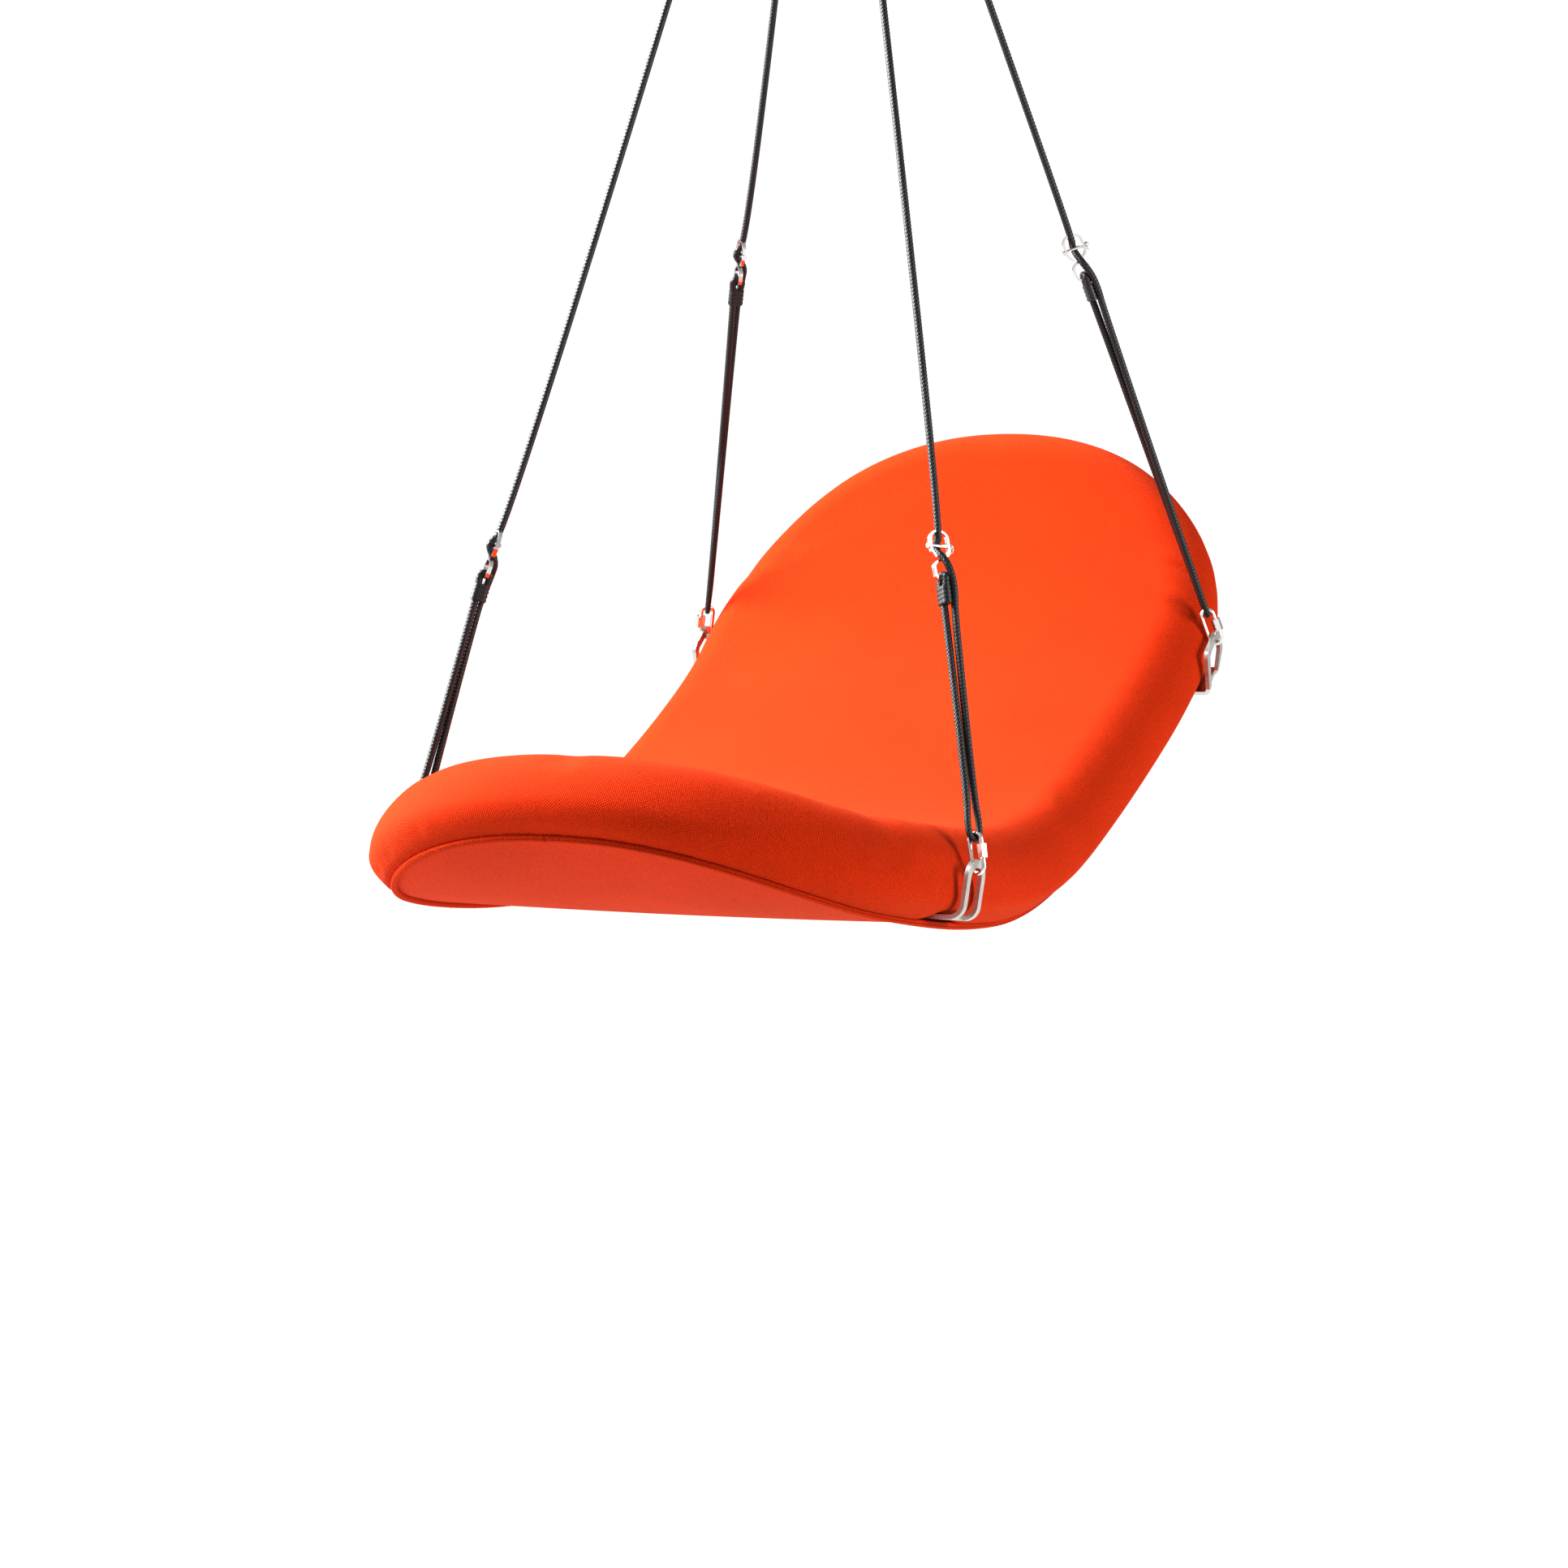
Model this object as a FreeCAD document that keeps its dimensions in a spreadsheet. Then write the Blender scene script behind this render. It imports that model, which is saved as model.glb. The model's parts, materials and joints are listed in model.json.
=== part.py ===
"""Hanging lounge seat: a bent, upholstered shell on four adjustable ropes under a ceiling swivel.

Frame: the origin is the centre of the ceiling plate's mounting face, +Z is up, the sitter looks
along -Y and +X is to the right of someone who faces the sitter. All lengths are millimetres.
"""
import FreeCAD, Part
import Sketcher
import math
import os
from FreeCAD import Matrix, Placement, Rotation, Vector

X_AXIS = Vector(1, 0, 0)
Y_AXIS = Vector(0, 1, 0)
Z_AXIS = Vector(0, 0, 1)

doc = FreeCAD.newDocument("hanging_seat")
sheet = doc.addObject("Spreadsheet::Sheet", "Dimensions")

DIMENSIONS = (
    # ceiling fitting
    ("plate_radius", 68), ("plate_thick", 6), ("bolt_pcd", 100), ("bolt_hole_radius", 3.5),
    ("bolt_count", 4), ("ear_base_width", 34), ("ear_base_depth", 26), ("ear_base_thick", 3),
    ("ear_gap", 15), ("ear_thick", 5), ("ear_radius", 11), ("ear_drop", 20),
    ("fork_pin_radius", 5), ("fork_pin_length", 34), ("fork_pin_head_radius", 8),
    ("fork_pin_head_thick", 3), ("circlip_radius", 5.6), ("circlip_wire_radius", 0.9),
    ("bore_clearance", 0.05), ("eye_thick", 14), ("swivel_cap_radius", 11),
    ("swivel_cap_top", 33.5), ("swivel_cap_thick", 5), ("swivel_neck_radius", 6),
    ("washer_thick", 1.6),
    ("swivel_body_radius", 13), ("swivel_body_top", 40.5), ("swivel_body_length", 14),
    ("swivel_bolt_radius", 4), ("swivel_bolt_head_radius", 7), ("swivel_bolt_head_thick", 4),
    ("lower_eye_radius", 11), ("lower_eye_wire_radius", 5), ("lower_eye_drop", 62),
    ("ring_radius", 28), ("ring_wire_radius", 5), ("ring_drop", 90.7),
    # ropes and their hardware
    ("rope_radius", 3.8), ("crimp_length", 20), ("crimp_wall", 1.3), ("crimp_rib", 0.7),
    ("crimp_ribs", 4), ("hook_strip_width", 4.5), ("hook_strip_thick", 2.5),
    ("hook_pin_radius", 2), ("hook_pin_length", 27), ("hook_pin_head_radius", 3.4),
    ("hook_pin_head_thick", 2.2), ("hook_pin_ball_radius", 3.3), ("split_ring_radius", 3.6),
    ("split_ring_wire_radius", 0.6), ("link_length", 49), ("link_width", 20),
    ("link_wire_radius", 2.5), ("link_nut_length", 15), ("link_nut_flats", 10),
    ("link_gap", 3), ("link_gap_height", -4.4), ("link_nut_low", -6.7),
    ("link_hang", 9.8),
    # brackets
    ("bracket_thick", 5), ("bracket_width", 48), ("bracket_limb", 9),
    ("bracket_tail", 120), ("bracket_hole_inset", 58),
    ("bracket_hole_pitch", 50), ("screw_radius", 3), ("screw_head_radius", 6),
    ("screw_length", 14.5), ("tee_nut_radius", 4.2), ("tee_nut_flange_radius", 10),
    ("tee_nut_flange_thick", 1.5), ("tee_nut_length", 9),
    # upholstered seat
    ("seat_length", 1593), ("seat_front_end", 402), ("seat_back_end", 381),
    ("seat_half_front", 344), ("seat_half_back", 347), ("seat_waist", 6),
    ("seat_front_power", 2.23), ("seat_back_power", 2.15), ("cushion_height", 103),
    ("cushion_crown", 11), ("cushion_top_roll", 60), ("cushion_low_roll", 37),
    ("cushion_bulge_height", 29.5), ("cushion_back_share", 0.855), ("thin_from", 350),
    ("thin_over", 600), ("cover_thick", 1.6), ("shell_low", 9.8), ("shell_thick", 10),
    ("panel_thick", 1.5), ("piping_radius", 3.2), ("piping_height", 0.4),
    ("seat_start_y", -726.7), ("seat_start_z", -1552.9),
)


def fill_sheet():
    for row, (alias, value) in enumerate(DIMENSIONS, start=1):
        sheet.set("A%d" % row, alias)
        sheet.set("B%d" % row, str(value))
        sheet.setAlias("B%d" % row, alias)
    doc.recompute()


fill_sheet()


def size(alias):
    return float(sheet.get(alias))


# Each rope: where it leaves the ring, how far its adjuster sits above the link, the way its
# adjuster and link face, and the link's nut side. Angles are azimuths from +X, in degrees.
# Keys: link point, ring angle, adjuster distance, hook azimuth, strand azimuth, link azimuth.
CORNERS = {
    "front_left": (Vector(-346, -373, -1587), -50, 329, 45, 45, 155),
    "front_right": (Vector(346, -373, -1587), 27, 334, -32, 60, -12),
    "back_left": (Vector(-345, 385, -1359), -12, 490, 45, -65, 205),
    "back_right": (Vector(345, 385, -1359), 8, 483, -55, -65, 25),
}

# The rope's route, chosen by hand: anchor, distance along the rope, sideways, outwards.
# From the crimped end at the ring, down through the adjuster, round the link and back to the
# adjuster's lower loop. "ring" is sideways towards the long leg; "hook" is measured from the
# adjuster's pin, sideways and out of its plane; "link" is sideways between the two strands.
ROPE_ROUTE = (
    ("ring", -66, 1.5, 0), ("ring", -46, 1.0, 0), ("ring", -26, -5.0, 0), ("ring", -8, -8.8, 0),
    ("ring", 9, -8.8, 0), ("ring", 9, 8.8, 0),
    ("hook", 16.5, 0, 7.6), ("hook", 0, 0, -8.6), ("hook", -16.5, 1, 7.6),
    ("hook", -36, 7.6, 8.4), ("hook", -58, 9.1, 6.7), ("hook", -80, 7.4, 5.2),
    ("link", 46, 4.5, 0), ("link", 20, 7.8, 0), ("link", 0, 6.6, 0), ("link", 0, -6.6, 0),
    ("link", 20, -7.8, 0), ("link", 46, -4.5, 0),
    ("hook", -76, 0.5, -2.4), ("hook", -52, 0, -3.9), ("hook", -43, 0, -5.9),
    ("hook", -33.6, 0, -6.1), ("hook", -33.6, 0, 6.1), ("hook", -43, 0, 5.6),
    ("hook", -50, 0, 3.9), ("hook", -57, 0, 3.6), ("hook", -64, 0, 3.8),
)
HOOK_STAND_OFF = 7.5

# The seat's profile turns steadily between these directions, at equal steps along its length.
PROFILE_DIRECTIONS = (-39, -10.5, -1.5, 22.5, 29, 46, 70)


# ---- small helpers -------------------------------------------------------------------------
def bind(obj, **cells):
    for name, expression in cells.items():
        obj.setExpression(name, expression)
    return obj


def primitive(kind, name, placement=None, **cells):
    obj = doc.addObject("Part::" + kind, name)
    obj.Placement = placement or Placement()
    return bind(obj, **cells)


def cell(text):
    """An expression from alias words: every word that is an alias becomes a sheet reference."""
    names = {alias for alias, _ in DIMENSIONS}
    return " ".join("Dimensions." + w if w in names else w for w in text.split())


def label(obj, name):
    obj.Label = name
    PARTS[name] = obj
    return obj


def boolean(kind, name, base, tool):
    obj = doc.addObject("Part::" + kind, name)
    obj.Base = base
    obj.Tool = tool
    return obj


def fuse(name, shapes):
    obj = doc.addObject("Part::MultiFuse", name)
    obj.Shapes = shapes
    return obj


def feature(name, shape, placement=None):
    obj = doc.addObject("Part::Feature", name)
    obj.Shape = shape
    if placement:
        obj.Placement = placement
    return label(obj, name)


def frame(origin, x_dir, y_dir, z_dir):
    m = Matrix(x_dir.x, y_dir.x, z_dir.x, origin.x,
               x_dir.y, y_dir.y, z_dir.y, origin.y,
               x_dir.z, y_dir.z, z_dir.z, origin.z,
               0, 0, 0, 1)
    return Placement(m)


def unit(vector):
    return Vector(vector).normalize()


def square_to(vector, axis):
    """The part of a vector that is square to an axis, as a unit vector."""
    return unit(vector - axis * vector.dot(axis))


def azimuth(degrees):
    angle = math.radians(degrees)
    return Vector(math.cos(angle), math.sin(angle), 0)


def at(x=0, y=0, z=0, axis=Z_AXIS, degrees=0):
    return Placement(Vector(x, y, z), Rotation(axis, degrees))


PARTS = {}
ALONG_X = Rotation(Y_AXIS, 90)


def along_x(x, y, z):
    return Placement(Vector(x, y, z), ALONG_X)


def along_y(x, y, z):
    return Placement(Vector(x, y, z), Rotation(X_AXIS, 90))


# ---- paths of straight runs and tangent arcs ------------------------------------------------
ARC_SHARE = 0.45


def rounded_edges(points, share=ARC_SHARE):
    """Straight runs joined by arcs that take a share of the shorter run; also the arc radii."""
    edges = []
    radii = []
    start = points[0]
    for before, corner, after in zip(points, points[1:], points[2:]):
        back = unit(before - corner)
        ahead = unit(after - corner)
        reach = share * min((before - corner).Length, (after - corner).Length)
        half_turn = (math.pi - back.getAngle(ahead)) / 2
        radius = reach / math.tan(half_turn)
        enter = corner + back * reach
        leave = corner + ahead * reach
        middle = corner + unit(back + ahead) * (radius / math.cos(half_turn) - radius)
        edges.append(Part.LineSegment(start, enter).toShape())
        edges.append(Part.Arc(enter, middle, leave).toShape())
        radii.append(radius)
        start = leave
    edges.append(Part.LineSegment(start, points[-1]).toShape())
    return edges, radii


def tube(points, radius):
    """A round tube along rounded runs, checked against its section times its length."""
    edges, radii = rounded_edges(points)
    path = Part.Wire(edges)
    profile = Part.Wire(Part.makeCircle(radius, points[0], points[1] - points[0]))
    solid = path.makePipeShell([profile], True, False)
    ideal = math.pi * radius ** 2 * path.Length
    if abs(solid.Volume - ideal) > 0.01 * ideal:
        raise RuntimeError("tube volume %.0f, expected %.0f" % (solid.Volume, ideal))
    return solid, path.Length, radii


def rounded_face(points, radii):
    """A flat face from corner points in order and a radius for each; 0 leaves a corner sharp."""
    enters = []
    edges = []
    count = len(points)
    for i, corner in enumerate(points):
        back = unit(points[i - 1] - corner)
        ahead = unit(points[(i + 1) % count] - corner)
        half_turn = (math.pi - back.getAngle(ahead)) / 2
        reach = radii[i] * math.tan(half_turn)
        middle = corner + unit(back + ahead) * (radii[i] / math.cos(half_turn) - radii[i])
        enters.append((corner + back * reach, middle, corner + ahead * reach))
    for i, (enter, middle, leave) in enumerate(enters):
        if radii[i] > 0:
            edges.append(Part.Arc(enter, middle, leave).toShape())
        following = enters[(i + 1) % count][0]
        if (following - leave).Length > 1e-4:
            edges.append(Part.LineSegment(leave, following).toShape())
    return Part.Face(Part.Wire(edges))


# ---- ceiling fitting ------------------------------------------------------------------------
def origin_plane(body, role):
    return next(f for f in body.Origin.OriginFeatures if f.Role == role)


def body_sketch(body, name, role):
    sketch = body.newObject("Sketcher::SketchObject", name)
    sketch.AttachmentSupport = (origin_plane(body, role), [""])
    sketch.MapMode = "FlatFace"
    return sketch


def sketch_circle(sketch, centre_x, radius_cell, centre_cell=None):
    index = sketch.addGeometry(Part.Circle(Vector(centre_x, 0, 0), Z_AXIS, 5), False)
    sketch.addConstraint(Sketcher.Constraint("Radius", index, 5))
    sketch.setExpression("Constraints[%d]" % (sketch.ConstraintCount - 1), cell(radius_cell))
    if centre_cell:
        sketch.addConstraint(Sketcher.Constraint("PointOnObject", index, 3, -1))
        sketch.addConstraint(Sketcher.Constraint("DistanceX", -1, 1, index, 3, centre_x))
        sketch.setExpression("Constraints[%d]" % (sketch.ConstraintCount - 1), cell(centre_cell))
    else:
        sketch.addConstraint(Sketcher.Constraint("Coincident", index, 3, -1, 1))


def ceiling_plate():
    body = doc.addObject("PartDesign::Body", "PlateBody")
    outline = body_sketch(body, "PlateOutline", "XY_Plane")
    sketch_circle(outline, 0, "plate_radius")
    disc = body.newObject("PartDesign::Pad", "PlateDisc")
    disc.Profile = outline
    disc.Reversed = True
    bind(disc, Length=cell("plate_thick"))
    doc.recompute()
    hole = body_sketch(body, "BoltHole", "XY_Plane")
    sketch_circle(hole, 40, "bolt_hole_radius", "bolt_pcd / 2")
    drilled = body.newObject("PartDesign::Pocket", "BoltPocket")
    drilled.Profile = hole
    drilled.Type = 1
    doc.recompute()
    pattern = body.newObject("PartDesign::PolarPattern", "BoltPattern")
    pattern.Originals = [drilled]
    pattern.Axis = (hole, ["N_Axis"])
    pattern.Angle = 360
    bind(pattern, Occurrences=cell("bolt_count"))
    body.Tip = pattern
    doc.recompute()
    rim = math.pi * size("plate_thick") * size("plate_radius") ** 2
    holes = math.pi * size("plate_thick") * size("bolt_hole_radius") ** 2 * size("bolt_count")
    if abs(body.Shape.Volume - (rim - holes)) > 1:
        raise RuntimeError("the plate's bolt holes are not cut through")
    label(body, "ceiling_plate")


def ceiling_fork():
    top = -size("plate_thick")
    base = primitive("Box", "ForkBase",
                     at(-size("ear_base_width") / 2, -size("ear_base_depth") / 2,
                        top - size("ear_base_thick")),
                     Length=cell("ear_base_width"), Width=cell("ear_base_depth"),
                     Height=cell("ear_base_thick"))
    pieces = [base]
    depth = -size("ear_drop")
    for side, start in (("Left", -size("ear_gap") / 2 - size("ear_thick")),
                        ("Right", size("ear_gap") / 2)):
        web = primitive("Box", "Ear" + side, at(start, -size("ear_radius"), depth),
                        Length=cell("ear_thick"), Width=cell("2 * ear_radius"),
                        Height=cell("ear_drop - plate_thick - ear_base_thick / 2"))
        tip = primitive("Cylinder", "EarTip" + side, along_x(start, 0, depth),
                        Radius=cell("ear_radius"), Height=cell("ear_thick"))
        pieces += [web, tip]
    bore = primitive("Cylinder", "ForkBore", along_x(-40, 0, depth),
                     Radius=cell("fork_pin_radius + bore_clearance"), Height="80 mm")
    label(boolean("Cut", "Fork", fuse("ForkSolid", pieces), bore), "ceiling_fork")


def fork_pin():
    depth = -size("ear_drop")
    end = size("fork_pin_length") / 2
    shank = primitive("Cylinder", "ForkPinShank", along_x(-end, 0, depth),
                      Radius=cell("fork_pin_radius"), Height=cell("fork_pin_length"))
    head_start = -size("ear_gap") / 2 - size("ear_thick") - size("fork_pin_head_thick") - 0.2
    head = primitive("Cylinder", "ForkPinHead", along_x(head_start, 0, depth),
                     Radius=cell("fork_pin_head_radius"), Height=cell("fork_pin_head_thick"))
    label(fuse("ForkPin", [shank, head]), "fork_pin")
    clip_x = size("ear_gap") / 2 + size("ear_thick") + 1.4
    clip = primitive("Torus", "Circlip", along_x(clip_x, 0, depth),
                     Radius1=cell("circlip_radius"), Radius2=cell("circlip_wire_radius"))
    label(clip, "fork_pin_circlip")


def swivel():
    depth = -size("ear_drop")
    eye = primitive("Cylinder", "SwivelEye", along_x(-size("eye_thick") / 2, 0, depth),
                    Radius=cell("ear_radius - 1"), Height=cell("eye_thick"))
    cap_low = -size("swivel_cap_top") - size("swivel_cap_thick")
    cap = primitive("Cylinder", "SwivelCap", at(0, 0, cap_low),
                    Radius=cell("swivel_cap_radius"), Height=cell("swivel_cap_thick"))
    neck = primitive("Cylinder", "SwivelNeck", at(0, 0, cap_low), Radius=cell("swivel_neck_radius"))
    neck.Height = depth - size("fork_pin_radius") - 2 - cap_low
    bore = primitive("Cylinder", "SwivelEyeBore", along_x(-20, 0, depth),
                     Radius=cell("fork_pin_radius + bore_clearance"), Height="40 mm")
    solid = fuse("SwivelTopSolid", [eye, cap, neck])
    label(boolean("Cut", "SwivelTop", solid, bore), "swivel_top_eye")

    body_top = -size("swivel_body_top")
    cavity_low = body_top - size("swivel_body_length") + 3
    head_low = cavity_low + 0.6
    shank = primitive("Cylinder", "SwivelBoltShank", at(0, 0, head_low),
                      Radius=cell("swivel_bolt_radius"))
    shank.Height = cap_low - head_low
    head = primitive("Cylinder", "SwivelBoltHead", at(0, 0, head_low),
                     Radius=cell("swivel_bolt_head_radius"),
                     Height=cell("swivel_bolt_head_thick"))
    label(fuse("SwivelBolt", [shank, head]), "swivel_bolt")

    disc = primitive("Cylinder", "WasherDisc", at(0, 0, body_top + 0.2),
                     Radius=cell("swivel_cap_radius - 0.5"), Height=cell("washer_thick"))
    washer_bore = primitive("Cylinder", "WasherBore", at(0, 0, body_top),
                            Radius=cell("swivel_bolt_radius + 0.3"), Height="5 mm")
    label(boolean("Cut", "SwivelWasher", disc, washer_bore), "swivel_thrust_washer")

    barrel = primitive("Cylinder", "SwivelBarrel", at(0, 0, body_top - size("swivel_body_length")),
                       Radius=cell("swivel_body_radius"), Height=cell("swivel_body_length"))
    loop = primitive("Torus", "SwivelLoop", along_x(0, 0, -size("lower_eye_drop")),
                     Radius1=cell("lower_eye_radius"), Radius2=cell("lower_eye_wire_radius"))
    throat = primitive("Cylinder", "SwivelBore", at(0, 0, cavity_low + 2),
                     Radius=cell("swivel_bolt_radius + bore_clearance"), Height="20 mm")
    cavity = primitive("Cylinder", "SwivelCavity", at(0, 0, cavity_low),
                       Radius=cell("swivel_bolt_head_radius + 0.4"),
                       Height=cell("swivel_bolt_head_thick + 1.4"))
    hollow = fuse("SwivelHollow", [throat, cavity])
    label(boolean("Cut", "SwivelBody", fuse("SwivelBodySolid", [barrel, loop]), hollow),
          "swivel_body")


def rope_ring():
    ring = primitive("Torus", "Ring", along_y(0, 0, -size("ring_drop")),
                     Radius1=cell("ring_radius"), Radius2=cell("ring_wire_radius"))
    label(ring, "rope_ring")


# ---- ropes, adjusters and links -------------------------------------------------------------
class RopeLine:
    """The three local frames that one rope's route and hardware are measured from."""

    def __init__(self, corner):
        link, ring_angle, distance, hook_turn, strand_turn, link_turn = CORNERS[corner]
        angle = math.radians(ring_angle)
        self.ring = Vector(size("ring_radius") * math.sin(angle), 0,
                           -size("ring_drop") - size("ring_radius") * math.cos(angle))
        self.link = link
        self.up = unit(self.ring - link)
        # the rope crosses the ring's wire at a slant, so its turn over the wire stands higher
        ring_wire = Vector(math.cos(angle), 0, math.sin(angle))
        self.ring_slant = (1 - self.up.dot(ring_wire) ** 2) ** -1.3
        outward = Vector(0, -1 if link.y < 0 else 1, 0)
        self.ring_side = square_to(outward, self.up)
        self.hook_out = square_to(azimuth(hook_turn), self.up)
        self.hook_side = self.up.cross(self.hook_out)
        self.hook = link + self.up * distance - self.hook_out * HOOK_STAND_OFF
        self.strand_side = square_to(azimuth(strand_turn), self.up)
        self.link_side = square_to(azimuth(link_turn), self.up)

    def point(self, anchor, along, side, out):
        if anchor == "ring":
            if along > 0:
                along *= self.ring_slant
            return self.ring + self.up * along + self.ring_side * side
        if anchor == "link":
            return self.link + self.up * along + self.strand_side * side
        return self.hook + self.up * along + self.hook_side * side + self.hook_out * out

    def hook_frame(self):
        """Local X across the adjuster, local Y out of its plane, local Z along the rope."""
        return frame(self.hook, self.hook_side, self.hook_out, self.up * -1)

    def hanging_point(self, above=0):
        """The middle of the link's lower bend, or a point that far up the link from it."""
        reach = size("link_length") - 3 * size("link_wire_radius") - size("rope_radius")
        return self.link - self.up * (reach + 0.2 - above)

    def link_frame(self):
        """Local X towards the nut's limb, local Z along the rope, origin at the link's middle."""
        reach = size("link_length") / 2 - 2 * size("link_wire_radius") - size("rope_radius")
        middle = self.link - self.up * (reach + 0.2)
        return frame(middle, self.link_side, self.up.cross(self.link_side), self.up)


def rope(corner, line):
    points = [line.point(*entry) for entry in ROPE_ROUTE]
    solid, length, radii = tube(points, size("rope_radius"))
    print("rope_%s: %.0f mm long, radii" % (corner, length), [round(r) for r in radii])
    feature("rope_" + corner, solid)


def crimp(name, middle, up, across, half_gap):
    """A ribbed sleeve pressed round two strands that lie side by side."""
    length = size("crimp_length")
    ribs = int(size("crimp_ribs"))
    pitch = length / ribs
    band = 0.6 * pitch
    radius = size("rope_radius") + size("crimp_wall")

    def slab(low, height, grow):
        reach = Vector(half_gap, 0, 0)
        ends = [Part.makeCylinder(radius + grow, height, Vector(0, 0, low) + reach * side)
                for side in (-1, 1)]
        block = Part.makeBox(2 * half_gap, 2 * (radius + grow), height,
                             Vector(-half_gap, -radius - grow, low))
        return ends[0].fuse([ends[1], block])

    solid = slab(-length / 2, length, 0)
    rib_slabs = [slab(-length / 2 + pitch * (i + 0.5) - band / 2, band, size("crimp_rib"))
                 for i in range(ribs)]
    solid = solid.fuse(rib_slabs).removeSplitter()
    feature(name, solid, frame(middle, across, up.cross(across), up))


# The adjuster's strip, bent to a figure of eight: across and down from its pin, with each
# bend's radius. It starts at the cut end beside the upper hoop and ends at the lower loop's.
HOOK_PATH = (
    (-6.5, 13.0), (-12.4, 4.5), (-11.0, -16.8), (11.0, -16.8), (12.0, 9.0), (-10.5, 21.5),
    (-9.0, 39.2), (8.4, 39.2), (9.2, 23.0), (4.4, 17.2),
)
HOOK_BENDS = (11, 9.5, 9.5, 7, 6.5, 7, 6.5, 8)


def hook_strip():
    """The bent strip as a solid: both edges of the strip follow the bends, offset each way."""
    points = [Vector(across, 0, down) for across, down in HOOK_PATH]
    half = size("hook_strip_thick") / 2
    sides = []
    for sign in (1, -1):
        edges = []
        first = unit(points[1] - points[0])
        start = points[0] + first.cross(Y_AXIS) * half * sign
        for before, corner, after, bend in zip(points, points[1:], points[2:], HOOK_BENDS):
            back = unit(before - corner)
            ahead = unit(after - corner)
            half_turn = (math.pi - back.getAngle(ahead)) / 2
            centre = corner + unit(back + ahead) * (bend / math.cos(half_turn))
            enter = corner + back * bend * math.tan(half_turn)
            leave = corner + ahead * bend * math.tan(half_turn)
            left_turn = back.cross(ahead).dot(Y_AXIS)
            radius = bend + half * sign * (1 if left_turn < 0 else -1)
            arc_points = [centre + unit(p - centre) * radius for p in (enter, corner, leave)]
            edges.append(Part.LineSegment(start, arc_points[0]).toShape())
            edges.append(Part.Arc(*arc_points).toShape())
            start = arc_points[2]
        last = unit(points[-1] - points[-2])
        end = points[-1] + last.cross(Y_AXIS) * half * sign
        edges.append(Part.LineSegment(start, end).toShape())
        sides.append(edges)
    ends = [Part.LineSegment(sides[0][i].Vertexes[j].Point, sides[1][i].Vertexes[j].Point).toShape()
            for i, j in ((0, 0), (-1, -1))]
    outline = Part.Wire(Part.__sortEdges__(sides[0] + sides[1] + ends))
    width = size("hook_strip_width")
    strip = Part.Face(outline).extrude(Vector(0, width, 0))
    strip.translate(Vector(0, -width / 2, 0))
    bore = Part.makeCylinder(size("hook_pin_radius") + size("bore_clearance"), 60,
                             Vector(-30, 0, 0), X_AXIS)
    return strip.cut(bore).removeSplitter()


def adjuster(corner, line):
    place = line.hook_frame()
    feature("adjuster_hook_" + corner, hook_strip(), place)

    length = size("hook_pin_length")
    start = -length / 2
    head_thick = size("hook_pin_head_thick")
    shank = Part.makeCylinder(size("hook_pin_radius"), length, Vector(start, 0, 0), X_AXIS)
    head = Part.makeCylinder(size("hook_pin_head_radius"), head_thick,
                             Vector(start - head_thick, 0, 0), X_AXIS)
    ball = Part.makeSphere(size("hook_pin_ball_radius"), Vector(-start + 2, 0, 0))
    feature("adjuster_pin_" + corner, shank.fuse([head, ball]).removeSplitter(), place)

    ring = primitive("Torus", "SplitRing_" + corner,
                     place * Placement(Vector(-start + 2, 0, 3.6), ALONG_X),
                     Radius1=cell("split_ring_radius"), Radius2=cell("split_ring_wire_radius"))
    label(ring, "adjuster_split_ring_" + corner)


def link(corner, line):
    """A screw link: an open wire oval with a gap that its long nut closes."""
    wire = size("link_wire_radius")
    bend = size("link_width") / 2 - wire
    straight = size("link_length") / 2 - wire - bend
    gap_low = size("link_gap_height") - size("link_gap") / 2
    gap_high = size("link_gap_height") + size("link_gap") / 2
    path = [
        Part.LineSegment(Vector(bend, 0, gap_high), Vector(bend, 0, straight)),
        Part.Arc(Vector(bend, 0, straight), Vector(0, 0, straight + bend),
                 Vector(-bend, 0, straight)),
        Part.LineSegment(Vector(-bend, 0, straight), Vector(-bend, 0, -straight)),
        Part.Arc(Vector(-bend, 0, -straight), Vector(0, 0, -straight - bend),
                 Vector(bend, 0, -straight)),
        Part.LineSegment(Vector(bend, 0, -straight), Vector(bend, 0, gap_low)),
    ]
    wire_path = Part.Wire([part.toShape() for part in path])
    profile = Part.Wire(Part.makeCircle(wire, Vector(bend, 0, gap_high), Z_AXIS))
    place = line.link_frame()
    feature("link_body_" + corner, wire_path.makePipeShell([profile], True, False), place)

    prism = primitive("Prism", "LinkHex_" + corner, Placement(), Height=cell("link_nut_length"),
                      Circumradius=cell("link_nut_flats / 2 / cos(30)"))
    prism.Polygon = 6
    bore = primitive("Cylinder", "LinkBore_" + corner, Placement(),
                     Radius=cell("link_wire_radius + bore_clearance"),
                     Height=cell("link_nut_length"))
    nut = boolean("Cut", "LinkNut_" + corner, prism, bore)
    nut.Placement = place * at(bend, 0, size("link_nut_low"))
    label(nut, "link_nut_" + corner)


def hanging_line(corner):
    line = RopeLine(corner)
    rope(corner, line)
    adjuster(corner, line)
    link(corner, line)
    gap = size("rope_radius")
    crimp("top_crimp_" + corner, line.point("ring", -56, 5.0, 0), line.up, line.ring_side, gap)
    crimp("rope_crimp_" + corner, line.point("hook", -57, 0, 0), line.up, line.hook_out, gap)


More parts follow.
